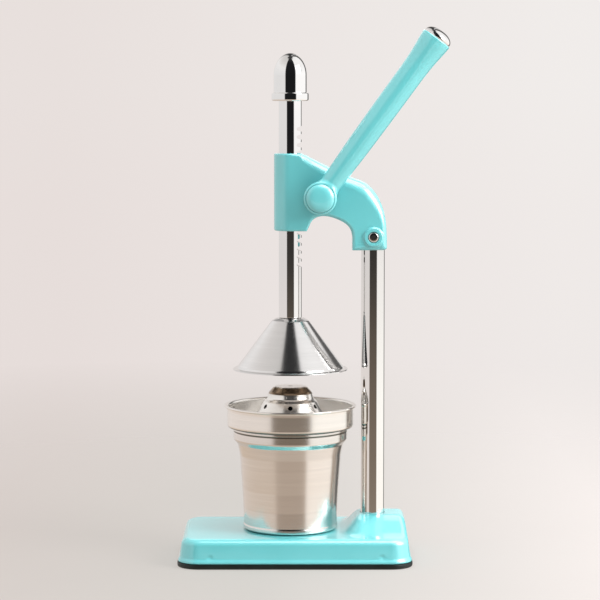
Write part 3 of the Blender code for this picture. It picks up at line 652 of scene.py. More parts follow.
def make_lever():
    """Meshes the lever along X, then leans it and its shading normals together."""
    low, high = (-17.5, -47, -17.5), (184, -13, 17.5)
    obj = surface_net("lever_casting", lever_field, low, high, 0.66 * COARSENESS)
    cos, sin = math.cos(LEVER_ANGLE), math.sin(LEVER_ANGLE)
    turn = Matrix((
        (cos, 0, -sin, PIVOT_X * MM), (0, 1, 0, 0), (sin, 0, cos, PIVOT_Z * MM), (0, 0, 0, 1)
    ))
    normals = fetch(obj.data.corner_normals, "vector", 3) @ np.array(turn.to_3x3()).T
    obj.data.transform(turn)
    obj.data.normals_split_custom_set([tuple(normal) for normal in normals])
    return obj


def make_end_cap():
    """A dome on a stem, closing the end of the arm."""
    stem, rim = ARM_END - 11.5, ARM_END + 0.15
    profile = [(0, stem), (3.0, stem), (3.0, rim), (13.0, rim)]
    profile += [(13.45, ARM_END + 0.4), (13.6, ARM_END + 0.9)]
    profile += dome(13.6, ARM_END + 0.9, 7.6, power=0.92, step=5)
    return lathe("lever_end_dome", profile, 128, place=AT_ARM)


def make_hub_cap():
    profile = [(0, -37.3), (12.8, -37.3), (13.0, -37.5), (13.0, -40.2)]
    profile += dome(13.0, -40.2, -4.1, power=0.55, step=4)
    return lathe("hub_dome", profile, 128, place=AT_PIVOT, sharp=50)


# ==== ram ====================================================================================
# turned outlines from here on: radius, z, corner radius
SHAFT = [
    (0, 225.6, 0), (10.7, 225.6, 0.7), (10.7, 428.0, 0.3), (6.0, 428.0, 0.2), (6.0, 445.0, 0.4),
    (0, 445.0, 0),
]


def notch_tool(number):
    """A trapezoid bar along Y that cuts one rack notch, its flanks leaning 20 degrees."""
    z = PIVOT_Z + RACK_PITCH * (number - NOTCHES / 2 + 0.5)
    pitch_x = PIVOT_X - PITCH_RADIUS - RAM_X
    points = []
    for y in (-14.0, 14.0):
        for x, side in ((6.1, -1), (13.0, -1), (13.0, 1), (6.1, 1)):
            half = (RACK_PITCH / 2 + 0.3) / 2 + (x - pitch_x) * math.tan(math.radians(20))
            points.append((RAM_X + x, y, z + side * half))
    faces = [(0, 1, 2, 3), (7, 6, 5, 4), (0, 4, 5, 1), (1, 5, 6, 2), (2, 6, 7, 3), (3, 7, 4, 0)]
    tool = new_object("notch_tool_%d" % number, points, faces)
    outward(tool)
    return tool


def make_shaft():
    profile = held(round_corners(SHAFT, 4), 0.3)
    obj = lathe("ram_rack_shaft", profile, 160)
    cut(obj, *[notch_tool(k) for k in range(NOTCHES)])
    cut(obj, rod("tap_tool", 2.7, 200, 248, 32))
    shade_as_turned(obj, profile, 12.0)
    return obj


KNOB_RADIUS, KNOB_SHOULDER, KNOB_DOME = 15.4, 451.2, 20.2
KNOB_BODY = [
    (KNOB_RADIUS, 451.0, 0), (KNOB_RADIUS, 434.6, 0.8), (17.3, 434.6, 1.7), (17.3, 427.2, 1.5),
    (11.0, 427.2, 0.3), (11.0, 428.3, 0.1), (6.3, 428.3, 0.1), (6.3, 445.4, 0.1), (0, 445.4, 0),
]


def make_knob():
    profile = [(0, KNOB_SHOULDER + KNOB_DOME)]
    for degrees in range(5, 91, 5):
        angle = math.radians(degrees)
        z = KNOB_SHOULDER + KNOB_DOME * math.cos(angle)
        profile.append((KNOB_RADIUS * math.sin(angle), z))
    return lathe("ram_knob", held(profile + round_corners(KNOB_BODY, 7), 0.3), 192)


CONE_OUTSIDE = [
    (2.9, 225.2, 0), (13.4, 225.2, 3.0), (17.4, 223.0, 3.0), (49.0, 180.5, 2.4),
    (49.9, 178.4, 1.2), (53.6, 178.0, 0.5), (53.6, 177.1, 0),
]
CONE_INSIDE = [
    (53.1, 177.1, 0), (49.2, 177.4, 1.0), (48.0, 179.7, 2.4), (16.5, 222.0, 2.4),
    (13.2, 224.0, 2.4), (2.9, 224.0, 0),
]


def make_cone():
    profile = round_corners(CONE_OUTSIDE) + round_corners(CONE_INSIDE)
    profile = held(subdivide(profile, 3.0, closed=True), 0.3, closed=True)
    return lathe("pressing_cone", profile, 256, closed=True, sharp=45)


def make_cone_washer():
    rows = [(2.9, 221.8, 0.3), (10.5, 221.8, 0.3), (10.5, 223.7, 0.3), (2.9, 223.7, 0.3)]
    return lathe("cone_plate_washer", round_corners(rows, 3, closed=True), 64, closed=True)


def make_cone_screw():
    rows = [
        (0, 217.2, 0), (5.6, 217.2, 1.6), (5.6, 221.6, 0.3), (2.5, 221.6, 0.1), (2.5, 245.6, 0.5),
        (0, 245.6, 0),
    ]
    obj = lathe("cone_socket_screw", round_corners(rows, 5), 64)
    cut_hex(obj, 2.6, 212, 219.8, AT_RAM)
    return obj


# ==== strainer and cup =======================================================================
STRAINER_TOP = [
    (0, 160.4, 0), (1.0, 160.4, 0.5), (2.2, 161.2, 1.0), (14.4, 161.2, 1.6), (15.8, 160.2, 1.2),
    (18.7, 157.1, 0.5), (19.5, 156.3, 0.9), (20.6, 154.6, 1.1), (20.7, 153.2, 0.5),
    (21.5, 150.4, 0.7), (22.3, 149.2, 0.9), (24.6, 147.2, 1.0), (28.0, 141.3, 9.0),
    (30.2, 137.5, 9.0), (34.6, 133.3, 6.0), (45.4, 127.2, 6.0), (50.6, 124.0, 6.0),
    (57.8, 124.0, 2.6), (58.0, 127.5, 3.0), (58.0, 142.0, 0), (58.6, 143.8, 1.6),
    (61.5, 143.8, 0.8), (61.5, 142.0, 0.6), (60.0, 141.9, 0.5), (59.1, 141.4, 0.5),
    (59.0, 139.0, 0),
]
STRAINER_UNDER = [
    (59.0, 128.5, 0), (59.0, 122.9, 4.4), (51.3, 122.9, 0.8), (50.7, 118.8, 0.6),
    (49.3, 118.7, 0.5), (48.6, 122.3, 1.5), (44.8, 126.2, 6.0), (34.0, 132.2, 6.0),
    (29.2, 136.9, 8.0), (27.0, 140.7, 0), (23.7, 146.4, 0.8), (21.5, 148.3, 0.8),
    (20.4, 149.9, 0.5), (19.5, 153.0, 0.4), (19.3, 154.2, 0.4), (18.2, 155.8, 0.5),
    (15.2, 159.2, 0.8), (14.2, 160.2, 0.8), (0, 159.6, 0),
]
# rings of holes: distance from the axis, z, first hole's bearing and upward tilt in degrees
HOLE_RINGS = ((26.8, 143.4, -90.0, 30.0), (36.9, 131.9, -60.0, 59.0))
HOLES_PER_RING, HOLE_RADIUS = 6, 2.25


def hole_tools():
    tools = []
    for radius, z, bearing, tilt in HOLE_RINGS:
        for k in range(HOLES_PER_RING):
            angle = math.radians(bearing + 360.0 / HOLES_PER_RING * k)
            lean = math.radians(tilt)
            cos, sin = math.cos(angle), math.sin(angle)
            out = Vector((cos * math.cos(lean), sin * math.cos(lean), math.sin(lean)))
            spot = Matrix.Translation((RAM_X + radius * cos, radius * sin, z))
            spot = spot @ out.to_track_quat("Z", "Y").to_matrix().to_4x4()
            name = "hole_tool_%d_%d" % (radius, k)
            tools.append(rod(name, HOLE_RADIUS, -4.5, 4.5, 40, spot))
    return tools


def make_strainer():
    profile = round_corners(STRAINER_TOP, 5) + round_corners(STRAINER_UNDER, 5)
    profile = held(subdivide(profile, 3.2), 0.3)
    profile = [  # drop points that repeat the one before
        point for i, point in enumerate(profile) if i == 0 or math.dist(point, profile[i - 1]) > 1e-4
    ]
    obj = lathe("strainer_bowl", profile, 240, sharp=0)
    cut(obj, *hole_tools())
    shade_as_turned(obj, profile, 25.0)
    return obj


CUP_FOOT, CUP_LIP = BASE_TOP + 0.3, 122.6
# the outside up to the lip, the lip, then the inside down; z of outside and inside from CUP_FOOT
CUP_OUTSIDE = [
    (0, 1.8, 0), (35.5, 1.8, 1.5), (38.5, 0, 1.5), (42.0, 0, 1.6), (44.2, 1.4, 1.6),
    (44.2, 4.4, 0.8), (43.7, 5.6, 1.0), (44.1, 20.0, 40.0), (45.0, 38.0, 60.0),
    (46.4, 57.0, 60.0), (47.3, 70.0, 12.0), (48.2, 74.6, 12.0), (49.4, 80.4, 2.2),
    (53.2, 84.8, 2.6),
]
CUP_RIM = [
    (53.2, CUP_LIP - 2.6, 0.4), (53.6, CUP_LIP - 2.2, 0.4), (53.6, CUP_LIP, 0.7),
    (52.2, CUP_LIP, 0.6), (51.9, CUP_LIP - 2.0, 1.0),
]
CUP_INSIDE = [
    (52.0, 85.2, 2.6), (48.3, 80.8, 2.2), (47.0, 74.8, 12.0), (46.1, 70.2, 12.0),
    (45.3, 57.2, 60.0), (43.9, 38.2, 60.0), (43.0, 20.2, 40.0), (42.7, 4.0, 3.0),
    (36.0, 3.0, 2.0), (0, 3.0, 0),
]


def make_cup():
    outside, inside = (
        [(radius, CUP_FOOT + z, rounding) for radius, z, rounding in rows]
        for rows in (CUP_OUTSIDE, CUP_INSIDE)
    )
    profile = subdivide(round_corners(outside + CUP_RIM + inside), 5.0)
    return lathe("juice_cup", held(profile, 0.4), 256, sharp=45)


# ==== shader node helpers ====================================================================
def srgb(*levels):
    """Linear colour from 0-255 display levels."""
    parts = [level / 255.0 for level in levels]
    linear = [c / 12.92 if c <= 0.04045 else ((c + 0.055) / 1.055) ** 2.4 for c in parts]
    return (*linear, 1.0)


def dimmed(colour, factor):
    return tuple(part * factor for part in colour[:3]) + (1.0,)


class Net:
    """A small builder for node trees; its methods return output sockets, except add."""

    def __init__(self, tree):
        self.tree = tree
        tree.nodes.clear()

    def add(self, kind, inputs=None, **settings):
        node = self.tree.nodes.new("ShaderNode" + kind)
        for key, value in settings.items():
            setattr(node, key, value)
        self.feed(node, inputs or {})
        return node

    def feed(self, node, inputs):
        """Sets or links inputs, keyed by name or number."""
        for key, value in inputs.items():
            if isinstance(value, bpy.types.NodeSocket):
                self.tree.links.new(value, node.inputs[key])
            else:
                node.inputs[key].default_value = value

    def math(self, operation, *values):
        return self.add("Math", dict(enumerate(values)), operation=operation).outputs[0]

    def plus(self, first, second):
        return self.math("ADD", first, second)

    def minus(self, first, second):
        return self.math("SUBTRACT", first, second)

    def times(self, first, second):
        return self.math("MULTIPLY", first, second)

    def length(self, x, y):
        return self.math("SQRT", self.plus(self.times(x, x), self.times(y, y)))

    def split(self, vector):
        return self.add("SeparateXYZ", {0: vector}).outputs

    def noise(self, vector, scale, detail=3.0, roughness=0.5, distortion=0.0):
        inputs = {"Vector": vector, "Scale": scale, "Detail": detail}
        inputs.update({"Roughness": roughness, "Distortion": distortion})
        return self.add("TexNoise", inputs).outputs["Fac"]

    def stretched(self, vector, scale):
        return self.add("Mapping", {"Vector": vector, "Scale": scale}).outputs[0]

    def ramp(self, value, *stops):
        """Stops are (position, colour)."""
        node = self.add("ValToRGB", {0: value})
        elements = node.color_ramp.elements
        elements.remove(elements[-1])
        for i, (position, colour) in enumerate(stops):
            element = elements[0] if i == 0 else elements.new(position)
            element.position = position
            element.color = colour if len(colour) == 4 else (*colour, 1.0)
        return node.outputs[0]

    def remap(self, value, source, target):
        """Carries the source range onto the target range."""
        return self.add("MapRange", dict(enumerate((value, *source, *target)))).outputs[0]

    def mix(self, factor, first, second, mode="MIX"):
        inputs = {0: factor, 6: first, 7: second}
        return self.add("Mix", inputs, data_type="RGBA", blend_type=mode).outputs[2]

    def mix_shader(self, factor, first, second):
        return self.add("MixShader", {0: factor, 1: first, 2: second}).outputs[0]

    def bump(self, height, strength, distance, normal=None):
        inputs = {"Strength": strength, "Distance": distance, "Height": height}
        if normal is not None:
            inputs["Normal"] = normal
        return self.add("Bump", inputs).outputs["Normal"]


def start(name):
    """A new material, its node builder, its Principled shader and the object coordinates."""
    mat = bpy.data.materials.new(name)
    mat.use_nodes = True
    net = Net(mat.node_tree)
    net.output = net.add("OutputMaterial")
    bsdf = net.add("BsdfPrincipled")
    net.feed(net.output, {0: bsdf.outputs[0]})
    return mat, net, bsdf, net.add("TexCoord").outputs["Object"]


# ==== finishes ===============================================================================
def enamel():
    """Glossy turquoise enamel: slow waviness, fine orange peel, a touch of tone variation."""
    mat, net, bsdf, place = start("turquoise_enamel_look")
    tone = net.noise(place, scale=18.0)
    tone = net.ramp(tone, (0.3, srgb(88, 189, 194)), (0.7, srgb(95, 195, 200)))
    specks = net.noise(place, scale=900.0, detail=2.0)
    specks = net.ramp(specks, (0.70, (0, 0, 0)), (0.78, (1, 1, 1)))
    gloss = net.noise(place, scale=60.0, detail=4.0)
    coat_gloss = net.noise(place, scale=35.0)
    waves = net.noise(place, scale=55.0, detail=2.0)
    waves = net.bump(waves, strength=0.22, distance=0.00022)
    peel = net.noise(place, scale=620.0, detail=2.0)
    net.feed(bsdf, {
        "Base Color": net.mix(net.times(specks, 0.05), tone, srgb(74, 174, 181)),
        "Roughness": net.remap(gloss, (0.3, 0.7), (0.40, 0.46)),
        "IOR": 1.6,
        "Specular IOR Level": 1.0,
        "Coat Weight": 1.0,
        "Coat IOR": 1.55,
        "Coat Roughness": net.remap(coat_gloss, (0.3, 0.7), (0.04, 0.09)),
        "Normal": net.bump(peel, strength=0.20, distance=0.00004, normal=waves),
        "Coat Normal": waves,
    })
    return mat


def chrome(name, tint=(0.86, 0.855, 0.85, 1.0), roughness=(0.02, 0.07), core=None):
    """Mirror plating with faint wipe marks and hairline scratches.

    Within core millimetres of the ram axis it is painted near-black, as painted shade in the rack
    notches.
    """
    mat, net, bsdf, place = start(name)
    colour = net.mix(net.noise(place, scale=30.0), tint, dimmed(tint, 0.96))
    if core:
        x, y, _ = net.split(place)
        away = net.length(net.minus(x, RAM_X * MM), y)
        # painted shade: near-black inside the rack notches, close to the axis
        notch_shade = net.math("LESS_THAN", away, core * MM)
        colour = net.mix(notch_shade, colour, (0.05, 0.048, 0.045, 1.0))
    smear = net.stretched(place, (1.0, 1.0, 0.25))
    smear = net.noise(smear, scale=120.0, detail=5.0, roughness=0.6, distortion=0.4)
    hair = net.stretched(place, (900.0, 900.0, 18.0))
    hair = net.noise(hair, scale=1.0, detail=2.0, distortion=0.6)
    wiped = net.remap(smear, (0.35, 0.75), roughness)
    scratches = net.times(net.math("GREATER_THAN", hair, 0.72), 0.05)
    wave = net.noise(place, scale=38.0, detail=1.0)
    net.feed(bsdf, {
        "Metallic": 1.0,
        "Base Color": colour,
        "Roughness": net.plus(wiped, scratches),
        "Normal": net.bump(wave, strength=0.10, distance=0.00010),
    })
    return mat


def zone_mask(net, radius, z, z_rise, z_fall, radius_rise, radius_fall):
    """One inside a ring-shaped zone, fading over the given ranges in millimetres."""

    def fade(value, edges, target):
        return net.remap(value, tuple(edge * MM for edge in edges), target)

    mask = net.times(fade(z, z_rise, (0.0, 1.0)), fade(z, z_fall, (1.0, 0.0)))
    mask = net.times(mask, fade(radius, radius_fall, (1.0, 0.0)))
    return net.times(mask, fade(radius, radius_rise, (0.0, 1.0)))


def turned_steel(name, tint, roughness, relief, ring_scale, painted_light_zones=(), dull_zone=None):
    """Stainless brushed round the ram axis: rings in tone, gloss and relief.

    Each zone entry is (zone, shade): a painted shade or painted reflection colour laid over that zone;
    dull_zone is less metallic.
    """
    mat, net, bsdf, place = start(name)
    shift = net.add("VectorMath", {0: place, 1: (RAM_X * MM, 0, 0)}, operation="SUBTRACT")
    x, y, z = net.split(shift.outputs[0])
    radius = net.length(x, y)
    angle = net.math("ARCTAN2", y, x)

    def rings(around, scale, detail, roughness):
        """Noise that changes slowly round the axis and fast along the profile."""
        ring = net.add("CombineXYZ", {
            0: net.times(net.math("COSINE", angle), around),
            1: net.times(net.math("SINE", angle), around),
            2: net.times(net.minus(z, radius), scale),
        })
        return net.noise(ring.outputs[0], 1.0, detail, roughness)

    fine = rings(around=0.9, scale=ring_scale, detail=5.0, roughness=0.7)
    coarse = rings(around=0.35, scale=ring_scale * 0.16, detail=3.0, roughness=0.6)
    wipe = net.noise(place, scale=22.0)
    tone = net.plus(net.times(fine, 0.6), net.times(coarse, 0.4))
    colour = net.ramp(tone, (0.32, dimmed(tint, 0.90)), (0.68, tint))
    # painted shade and painted reflection colours, laid over their zones
    for zone, shade in painted_light_zones:
        colour = net.mix(zone_mask(net, radius, z, **zone), colour, (*shade, 1.0))
    metallic = 1.0
    if dull_zone:
        dull = zone_mask(net, radius, z, **dull_zone)
        metallic = net.remap(dull, (0.0, 1.0), (0.97, 0.40))
    brushed = net.remap(fine, (0.3, 0.7), (roughness - 0.03, roughness + 0.03))
    height = net.plus(fine, net.times(coarse, 0.5))
    net.feed(bsdf, {
        "Metallic": metallic,
        "Base Color": colour,
        "Roughness": net.plus(brushed, net.times(net.minus(wipe, 0.5), 0.06)),
        "Anisotropic": 0.3,
        "Tangent": net.add("Tangent", direction_type="RADIAL", axis="Z").outputs[0],
        "Normal": net.bump(height, strength=relief, distance=0.00003),
    })
    return mat


def rubber():
    mat, net, bsdf, place = start("black_rubber_look")
    tone = net.noise(place, scale=140.0, detail=4.0)
    gloss = net.noise(place, scale=400.0)
    grain = net.noise(place, scale=1500.0)
    net.feed(bsdf, {
        "Base Color": net.ramp(tone, (0.3, srgb(6, 20, 19)), (0.75, srgb(12, 30, 28))),
        "Roughness": net.remap(gloss, (0.3, 0.7), (0.42, 0.62)),
        "Normal": net.bump(grain, strength=0.35, distance=0.00005),
    })
    return mat


def plain_metal(name, tint, dark, roughness, grain_scale=(300.0, 300.0, 300.0)):
    """Zinc, machined steel and bronze for the small pieces."""
    mat, net, bsdf, place = start(name)
    grain = net.stretched(place, grain_scale)
    grain = net.noise(grain, scale=1.0, detail=5.0, roughness=0.65)
    pits = net.noise(place, scale=1800.0)
    net.feed(bsdf, {
        "Metallic": 1.0,
        "Base Color": net.ramp(grain, (0.3, dark), (0.7, tint)),
        "Roughness": net.remap(grain, (0.3, 0.7), (roughness - 0.07, roughness + 0.09)),
        "Normal": net.bump(pits, strength=0.25, distance=0.00003),
    })
    return mat


# Zones of the strainer and cup, in millimetres: painted shade under the cup lip and round the strainer
# foot, painted reflection at the strainer centre, and the strainer's duller inner wall.
# painted shade: a dark band on the cup just under the lip, where the strainer sits on it
CUP_LIP_SHADE_ZONE = dict(
    z_rise=(118.65, 119.15), z_fall=(120.25, 120.75),
    radius_rise=(51.5, 51.9), radius_fall=(60.0, 60.4),
)
# painted reflection: an olive-brown tone on the strainer's centre, in place of the cone's dark
# underside mirrored there
STRAINER_CENTRE_REFLECTION_ZONE = dict(
    z_rise=(154.15, 154.65), z_fall=(160.25, 160.75),
    radius_rise=(-0.4, 0.0), radius_fall=(20.4, 20.8),
)
# painted shade: a dark band round the strainer's lower rounded edge, above the cup lip
STRAINER_FOOT_SHADE_ZONE = dict(
    z_rise=(120.75, 121.25), z_fall=(124.15, 124.65),
    radius_rise=(53.6, 54.0), radius_fall=(62.0, 62.4),
)
STRAINER_WALL_ZONE = dict(
    z_rise=(123.3, 123.6), z_fall=(142.2, 142.8),
    radius_rise=(46.0, 48.0), radius_fall=(58.3, 58.7),
)


# ==== studio, in metres ======================================================================
def add_camera():
    data = bpy.data.cameras.new("photo_camera")
    camera = bpy.data.objects.new("photo_camera", data)
    scene.collection.objects.link(camera)
    camera.location = (0.00465, -2.200, 0.441)
    camera.rotation_euler = (math.radians(90.0 - 5.169), 0.0, 0.0)  # looks slightly down
    data.sensor_width = 36.0
    data.lens = 141.94
    data.clip_end = 50.0
    scene.camera = camera


# Brightness of the surroundings: (z of the view direction, colour).
ROOM = (
    (-0.60, (0.62, 0.53, 0.45)), (-0.30, (0.62, 0.51, 0.42)), (-0.25, (0.56, 0.45, 0.37)),
    (-0.17, (0.25, 0.20, 0.155)), (-0.135, (0.19, 0.15, 0.115)), (-0.075, (0.045, 0.042, 0.038)),
    (-0.02, (0.012, 0.012, 0.013)), (0.80, (0.014, 0.014, 0.016)), (1.0, (0.04, 0.04, 0.04)),
)
LEFT_PANEL = (
    (-0.60, (0.70, 0.60, 0.52)), (-0.27, (0.74, 0.61, 0.50)), (-0.14, (0.90, 0.83, 0.80)),
    (-0.07, (0.80, 0.77, 0.76)), (0.02, (0.88, 0.87, 0.865)), (0.45, (0.97, 0.95, 0.94)),
    (0.72, (0.80, 0.77, 0.75)), (0.93, (0.70, 0.68, 0.66)),
)
RIGHT_PANEL = (
    (-0.60, (1.00, 0.92, 0.84)), (-0.27, (1.20, 1.09, 0.99)), (-0.14, (1.22, 1.20, 1.15)),
    (-0.07, (1.02, 0.99, 0.97)), (0.02, (1.18, 1.17, 1.16)), (0.45, (1.05, 1.03, 1.02)),
    (0.80, (1.08, 1.07, 1.06)), (0.93, (1.0, 0.99, 0.98)),
)
BACKDROP = (
    (-0.40, (0.62, 0.57, 0.53)), (0.0, (0.80, 0.75, 0.725)), (0.26, (0.84, 0.79, 0.77)),
    (0.46, (0.34, 0.33, 0.32)), (0.62, (0.06, 0.06, 0.06)), (1.0, (0.04, 0.04, 0.04)),
)
# Where each part shows: (azimuth, weight). Azimuth 0.5 looks to -Y, 0.75 to +X, 0 and 1 to +Y.
RIGHT_SHARE = ((0.0, 0.0), (0.45, 0.0), (0.55, 1.0), (1.0, 1.0))
BACKDROP_SHARE = (
    (0.0, 1.0), (0.035, 1.0), (0.10, 0.0), (0.90, 0.0), (0.945, 0.0), (0.965, 1.0), (1.0, 1.0),
)
ROOM_SHARE = ((0.0, 0.0), (0.400, 0.0), (0.411, 1.0), (0.599, 1.0), (0.611, 0.0), (1.0, 0.0))
STRIP_SHARE = ((0.0, 0.0), (0.864, 0.0), (0.882, 0.93), (0.934, 0.93), (0.952, 0.0), (1.0, 0.0))
# What the camera sees: (height from 0 straight down to 1 straight up, colour).
SEEN = (
    (0.0, srgb(224, 215, 210)), (0.44, srgb(230, 221, 218)), (0.475, srgb(231, 222, 219)),
    (0.50, srgb(232, 224, 221)), (0.8, srgb(232, 224, 221)),
)


def add_world():
    """Soft panels left and right with a dark room between, and a pale plate for the camera."""
    world = bpy.data.worlds.new("studio")
    scene.world = world
    world.use_nodes = True
    net = Net(world.node_tree)
    output = net.add("OutputWorld")
    x, y, z = net.split(net.add("TexCoord").outputs["Generated"])
    bearing = net.math("ARCTAN2", x, net.times(y, -1.0))
    azimuth = net.plus(net.math("DIVIDE", bearing, 2 * math.pi), 0.5)
    height = net.plus(net.times(z, 0.5), 0.5)

    def by_height(stops):
        return net.ramp(height, *((0.5 + 0.5 * at, colour) for at, colour in stops))

    def by_azimuth(stops):
        return net.ramp(azimuth, *((at, (weight,) * 3) for at, weight in stops))

    room, left, right, back = map(by_height, (ROOM, LEFT_PANEL, RIGHT_PANEL, BACKDROP))
    studio = net.mix(by_azimuth(RIGHT_SHARE), left, right)
    studio = net.mix(by_azimuth(BACKDROP_SHARE), studio, back)
    studio = net.mix(by_azimuth(ROOM_SHARE), studio, room)
    # a dark strip at the rear right, and a dark patch overhead
    studio = net.mix(by_azimuth(STRIP_SHARE), studio, (0.045, 0.043, 0.04, 1.0))
    overhead = net.remap(z, (0.955, 0.985), (0.0, 1.0))
    studio = net.mix(overhead, studio, (0.05, 0.05, 0.05, 1.0))
    # painted light: the visible plate brightens to the right
    seen = net.ramp(net.plus(net.times(z, 0.5), 0.5), *SEEN)
    side = net.remap(x, (-0.10, 0.11), (0.0, 1.0))
    seen = net.mix(side, seen, net.mix(1.0, seen, (1.085, 1.13, 1.14, 1.0), "MULTIPLY"))
    from_camera = net.add("LightPath").outputs["Is Camera Ray"]
    lights = net.add("Background", {0: studio}).outputs[0]
    plate = net.add("Background", {0: seen}).outputs[0]
    net.feed(output, {0: net.mix_shader(from_camera, lights, plate)})


def area(name, location, aim, size, watts, colour, mirrored=False, only=None):
    """An area lamp aimed at a point; mirrored ones show in reflections, only limits what it lights."""
    data = bpy.data.lights.new(name, "AREA")
    data.shape = "RECTANGLE"
    data.size, data.size_y = size
    data.energy = watts
    data.color = colour
    lamp = bpy.data.objects.new(name, data)
    scene.collection.objects.link(lamp)
    lamp.location = location
    toward = Vector(aim) - Vector(location)
    lamp.rotation_euler = toward.to_track_quat("-Z", "Y").to_euler()
    lamp.visible_camera = False
    lamp.visible_glossy = mirrored
    if only:
        lamp.light_linking.receiver_collection = only


def collect(name, *pieces):
    group = bpy.data.collections.new(name)
    for piece in pieces:
        group.objects.link(piece)
    return group


# Lamps: name, location, aim, (width, height), watts, colour.
KEY_LAMP = (
    "key_softbox", (1.45, -0.80, 1.05), (0.0, 0.0, 0.25), (0.9, 1.0), 17.0, (1.0, 0.99, 0.975)
)
SOFT_LAMPS = (
    ("front_wash", (-0.5, -2.0, 1.5), (0.0, 0.0, 0.2), (1.6, 1.0), 8.0, (1.0, 0.985, 0.97)),
    ("fill_softbox", (-1.7, -0.8, 0.9), (0.0, 0.0, 0.25), (0.9, 1.4), 4.5, (1.0, 0.975, 0.95)),
    ("top_softbox", (0.0, 0.35, 1.9), (0.0, 0.0, 0.2), (1.6, 1.2), 8.0, (1.0, 0.99, 0.98)),
)
ENAMEL_LAMPS = (
    ("enamel_key", (1.5, -0.45, 1.0), (0.0, 0.0, 0.25), (1.1, 1.3), 24.0, (1.0, 0.99, 0.985)),
    ("enamel_top", (0.45, -0.25, 1.7), (0.0, 0.0, 0.25), (1.3, 1.0), 21.0, (1.0, 0.99, 0.985)),
    ("enamel_back", (0.25, 1.1, 1.15), (0.0, 0.0, 0.02), (1.7, 0.7), 7.0, (1.0, 0.99, 0.985)),
    ("enamel_low", (0.1, -1.7, 0.06), (0.0, 0.0, 0.02), (1.8, 0.18), 1.1, (1.0, 0.985, 0.98)),
)
BOWL_LAMP = (
    "bowl_light", (-0.45, -1.2, 0.80), (0.0, 0.0, 0.14), (0.7, 0.5), 15.0, (1.0, 0.97, 0.93)
)


def add_lamps():
    area(*KEY_LAMP, mirrored=True)
    for lamp in SOFT_LAMPS:
        area(*lamp)
    painted = collect("enamelled_pieces", base, head, lever, hub_cap)
    for lamp in ENAMEL_LAMPS:
        area(*lamp, mirrored=True, only=painted)
    area(*BOWL_LAMP, only=collect("strainer_piece", strainer))


def floor_look():
    """A pale, partly self-lit sheet, with painted light brightening it to the right, clearing away
    from the press.
    """
    mat, net, bsdf, place = start("pale_floor_look")
    x, y, _ = net.split(place)
    # painted light: the floor colour brightens to the right, and the same ramp feeds the glow below
    sheet = net.ramp(
        net.remap(x, (-0.32, 0.32), (0.0, 1.0)),
        (0.0, srgb(214, 205, 200)), (0.45, srgb(214, 211, 206)), (1.0, srgb(252, 245, 242)),
    )
    mottle = net.noise(place, scale=6.0, detail=2.0)
    mottle = net.ramp(mottle, (0.3, srgb(222, 217, 213)), (0.7, srgb(228, 222, 218)))
    net.feed(bsdf, {
        "Base Color": net.mix(0.5, sheet, mottle),
        "Roughness": 0.7,
        "Specular IOR Level": 0.1,
    })
    glow = net.add("Emission", {0: sheet}).outputs[0]
    lit = net.mix_shader(0.72, bsdf.outputs[0], glow)
    fade = net.remap(net.length(x, y), (0.30, 1.6), (0.0, 1.0))
    clear = net.add("BsdfTransparent").outputs[0]
    net.feed(net.output, {0: net.mix_shader(fade, lit, clear)})
    return mat


def add_floor():
    half, cells = 4.0, 24
    row = cells + 1
    steps = [half * (2 * i / cells - 1) for i in range(row)]
    points = [(x, y, 0.0) for y in steps for x in steps]
    corners = [j * row + i for j in range(cells) for i in range(cells)]
    faces = [(k, k + 1, k + row + 1, k + row) for k in corners]
    mesh = bpy.data.meshes.new("studio_floor")
    mesh.from_pydata(points, [], faces)
    floor = bpy.data.objects.new("studio_floor", mesh)
    scene.collection.objects.link(floor)
    floor.location = (0, 0, -0.0003)
    floor.visible_glossy = False
    mesh.materials.append(floor_look())


# ==== build ==================================================================================
scene = bpy.context.scene
base = make_base()
pad = make_pad()
post = make_post()
head = make_head()
lever = make_lever()
end_cap = make_end_cap()
hub_cap = make_hub_cap()
head_screw = make_head_screw()
shaft = make_shaft()
knob = make_knob()
cone = make_cone()
cone_washer = make_cone_washer()
cone_screw = make_cone_screw()
strainer = make_strainer()
cup = make_cup()

ENAMEL = enamel()
CHROME = chrome("polished_chrome_look")
# its near-black core is painted shade in the rack notches
SHAFT_CHROME = chrome("rack_chrome_look", core=10.55)
POST_CHROME = chrome("post_chrome_look", (0.84, 0.83, 0.815, 1.0), roughness=(0.03, 0.075))
SPUN = turned_steel(
    "spun_stainless_look", (0.82, 0.81, 0.805, 1.0), roughness=0.15, relief=0.10, ring_scale=1700.0
)
# the satin cup carries a painted shade band under its lip
SATIN = turned_steel(
    "satin_stainless_look", (0.80, 0.77, 0.74, 1.0), roughness=0.20, relief=0.07,
    ring_scale=2600.0, painted_light_zones=((CUP_LIP_SHADE_ZONE, (0.16, 0.15, 0.13)),),
)
# the strainer carries a painted reflection at its centre and painted shade at its foot
BOWL = turned_steel(
    "strainer_stainless_look", (0.88, 0.85, 0.81, 1.0), roughness=0.20, relief=0.06,
    ring_scale=2600.0, dull_zone=STRAINER_WALL_ZONE,
    painted_light_zones=(
        (STRAINER_CENTRE_REFLECTION_ZONE, (0.31, 0.235, 0.165)), (STRAINER_FOOT_SHADE_ZONE, (0.15, 0.14, 0.12)),
    ),
)
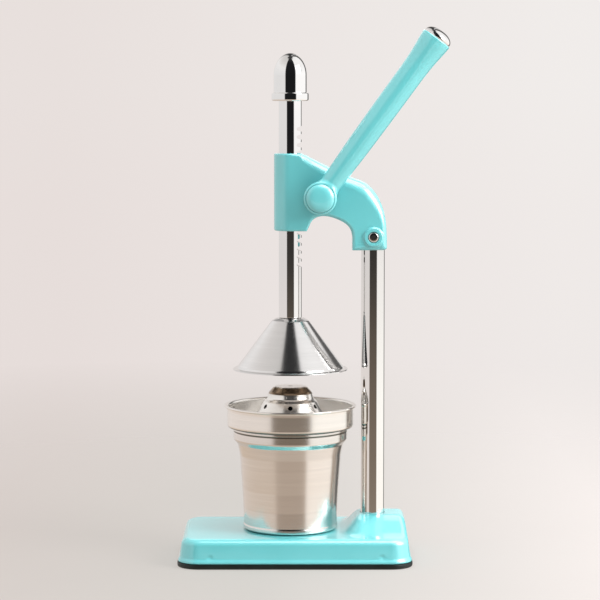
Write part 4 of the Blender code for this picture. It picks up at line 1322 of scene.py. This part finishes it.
RUBBER = rubber()
ZINC = plain_metal("zinc_look", (0.66, 0.66, 0.68, 1), (0.46, 0.46, 0.48, 1), roughness=0.30)
STEEL = plain_metal(
    "machined_steel_look", (0.56, 0.56, 0.56, 1), (0.38, 0.38, 0.38, 1), roughness=0.34,
    grain_scale=(60.0, 1500.0, 60.0),
)
BRONZE = plain_metal("bronze_look", (0.62, 0.42, 0.20, 1), (0.42, 0.26, 0.11, 1), roughness=0.36)

# object, material, body it rides on, slot, CAD node it replaces
for piece, look, body, slot, node in (
    (base, ENAMEL, "frame", "enamel", "base"),
    (pad, RUBBER, "frame", "pad_rubber", "base_pad"),
    (post, POST_CHROME, "frame", "post_chrome", "post"),
    (head, ENAMEL, "frame", "enamel", "head"),
    (head_screw, CHROME, "frame", "chrome", "head_screw"),
    (shaft, SHAFT_CHROME, "ram", "chrome", "rack_shaft"),
    (knob, CHROME, "ram", "chrome", "knob"),
    (cone, SPUN, "ram", "spun_steel", "press_cone"),
    (cone_washer, ZINC, "ram", "fastener", "cone_washer"),
    (cone_screw, ZINC, "ram", "fastener", "cone_screw"),
    (lever, ENAMEL, "lever", "enamel", "lever"),
    (end_cap, CHROME, "lever", "chrome", "lever_end_cap"),
    (hub_cap, ENAMEL, "lever", "enamel", "hub_cap"),
    (strainer, BOWL, "strainer", "satin_steel", "strainer"),
    (cup, SATIN, "cup", "satin_steel", "cup"),
):
    piece.data.materials.clear()
    piece.data.materials.append(look)
    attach(piece, body)
    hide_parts(node)

# CAD pieces kept as they are, by finish
for look, names in (
    (ZINC, ("post_plug", "post_washer", "post_bolt")),
    (BRONZE, ("bushing_front", "bushing_rear")),
    (STEEL, ("pinion", "pinion_shaft")),
    (ZINC, ("pinion_pin", "thrust_washer", "retaining_ring", "lever_screw", "lever_washer")),
):
    for name in names:
        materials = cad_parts[name].data.materials
        materials.clear()
        materials.append(look)

scene.view_settings.view_transform = "Standard"
add_camera()
add_world()
add_lamps()
add_floor()
lever.visible_glossy = False
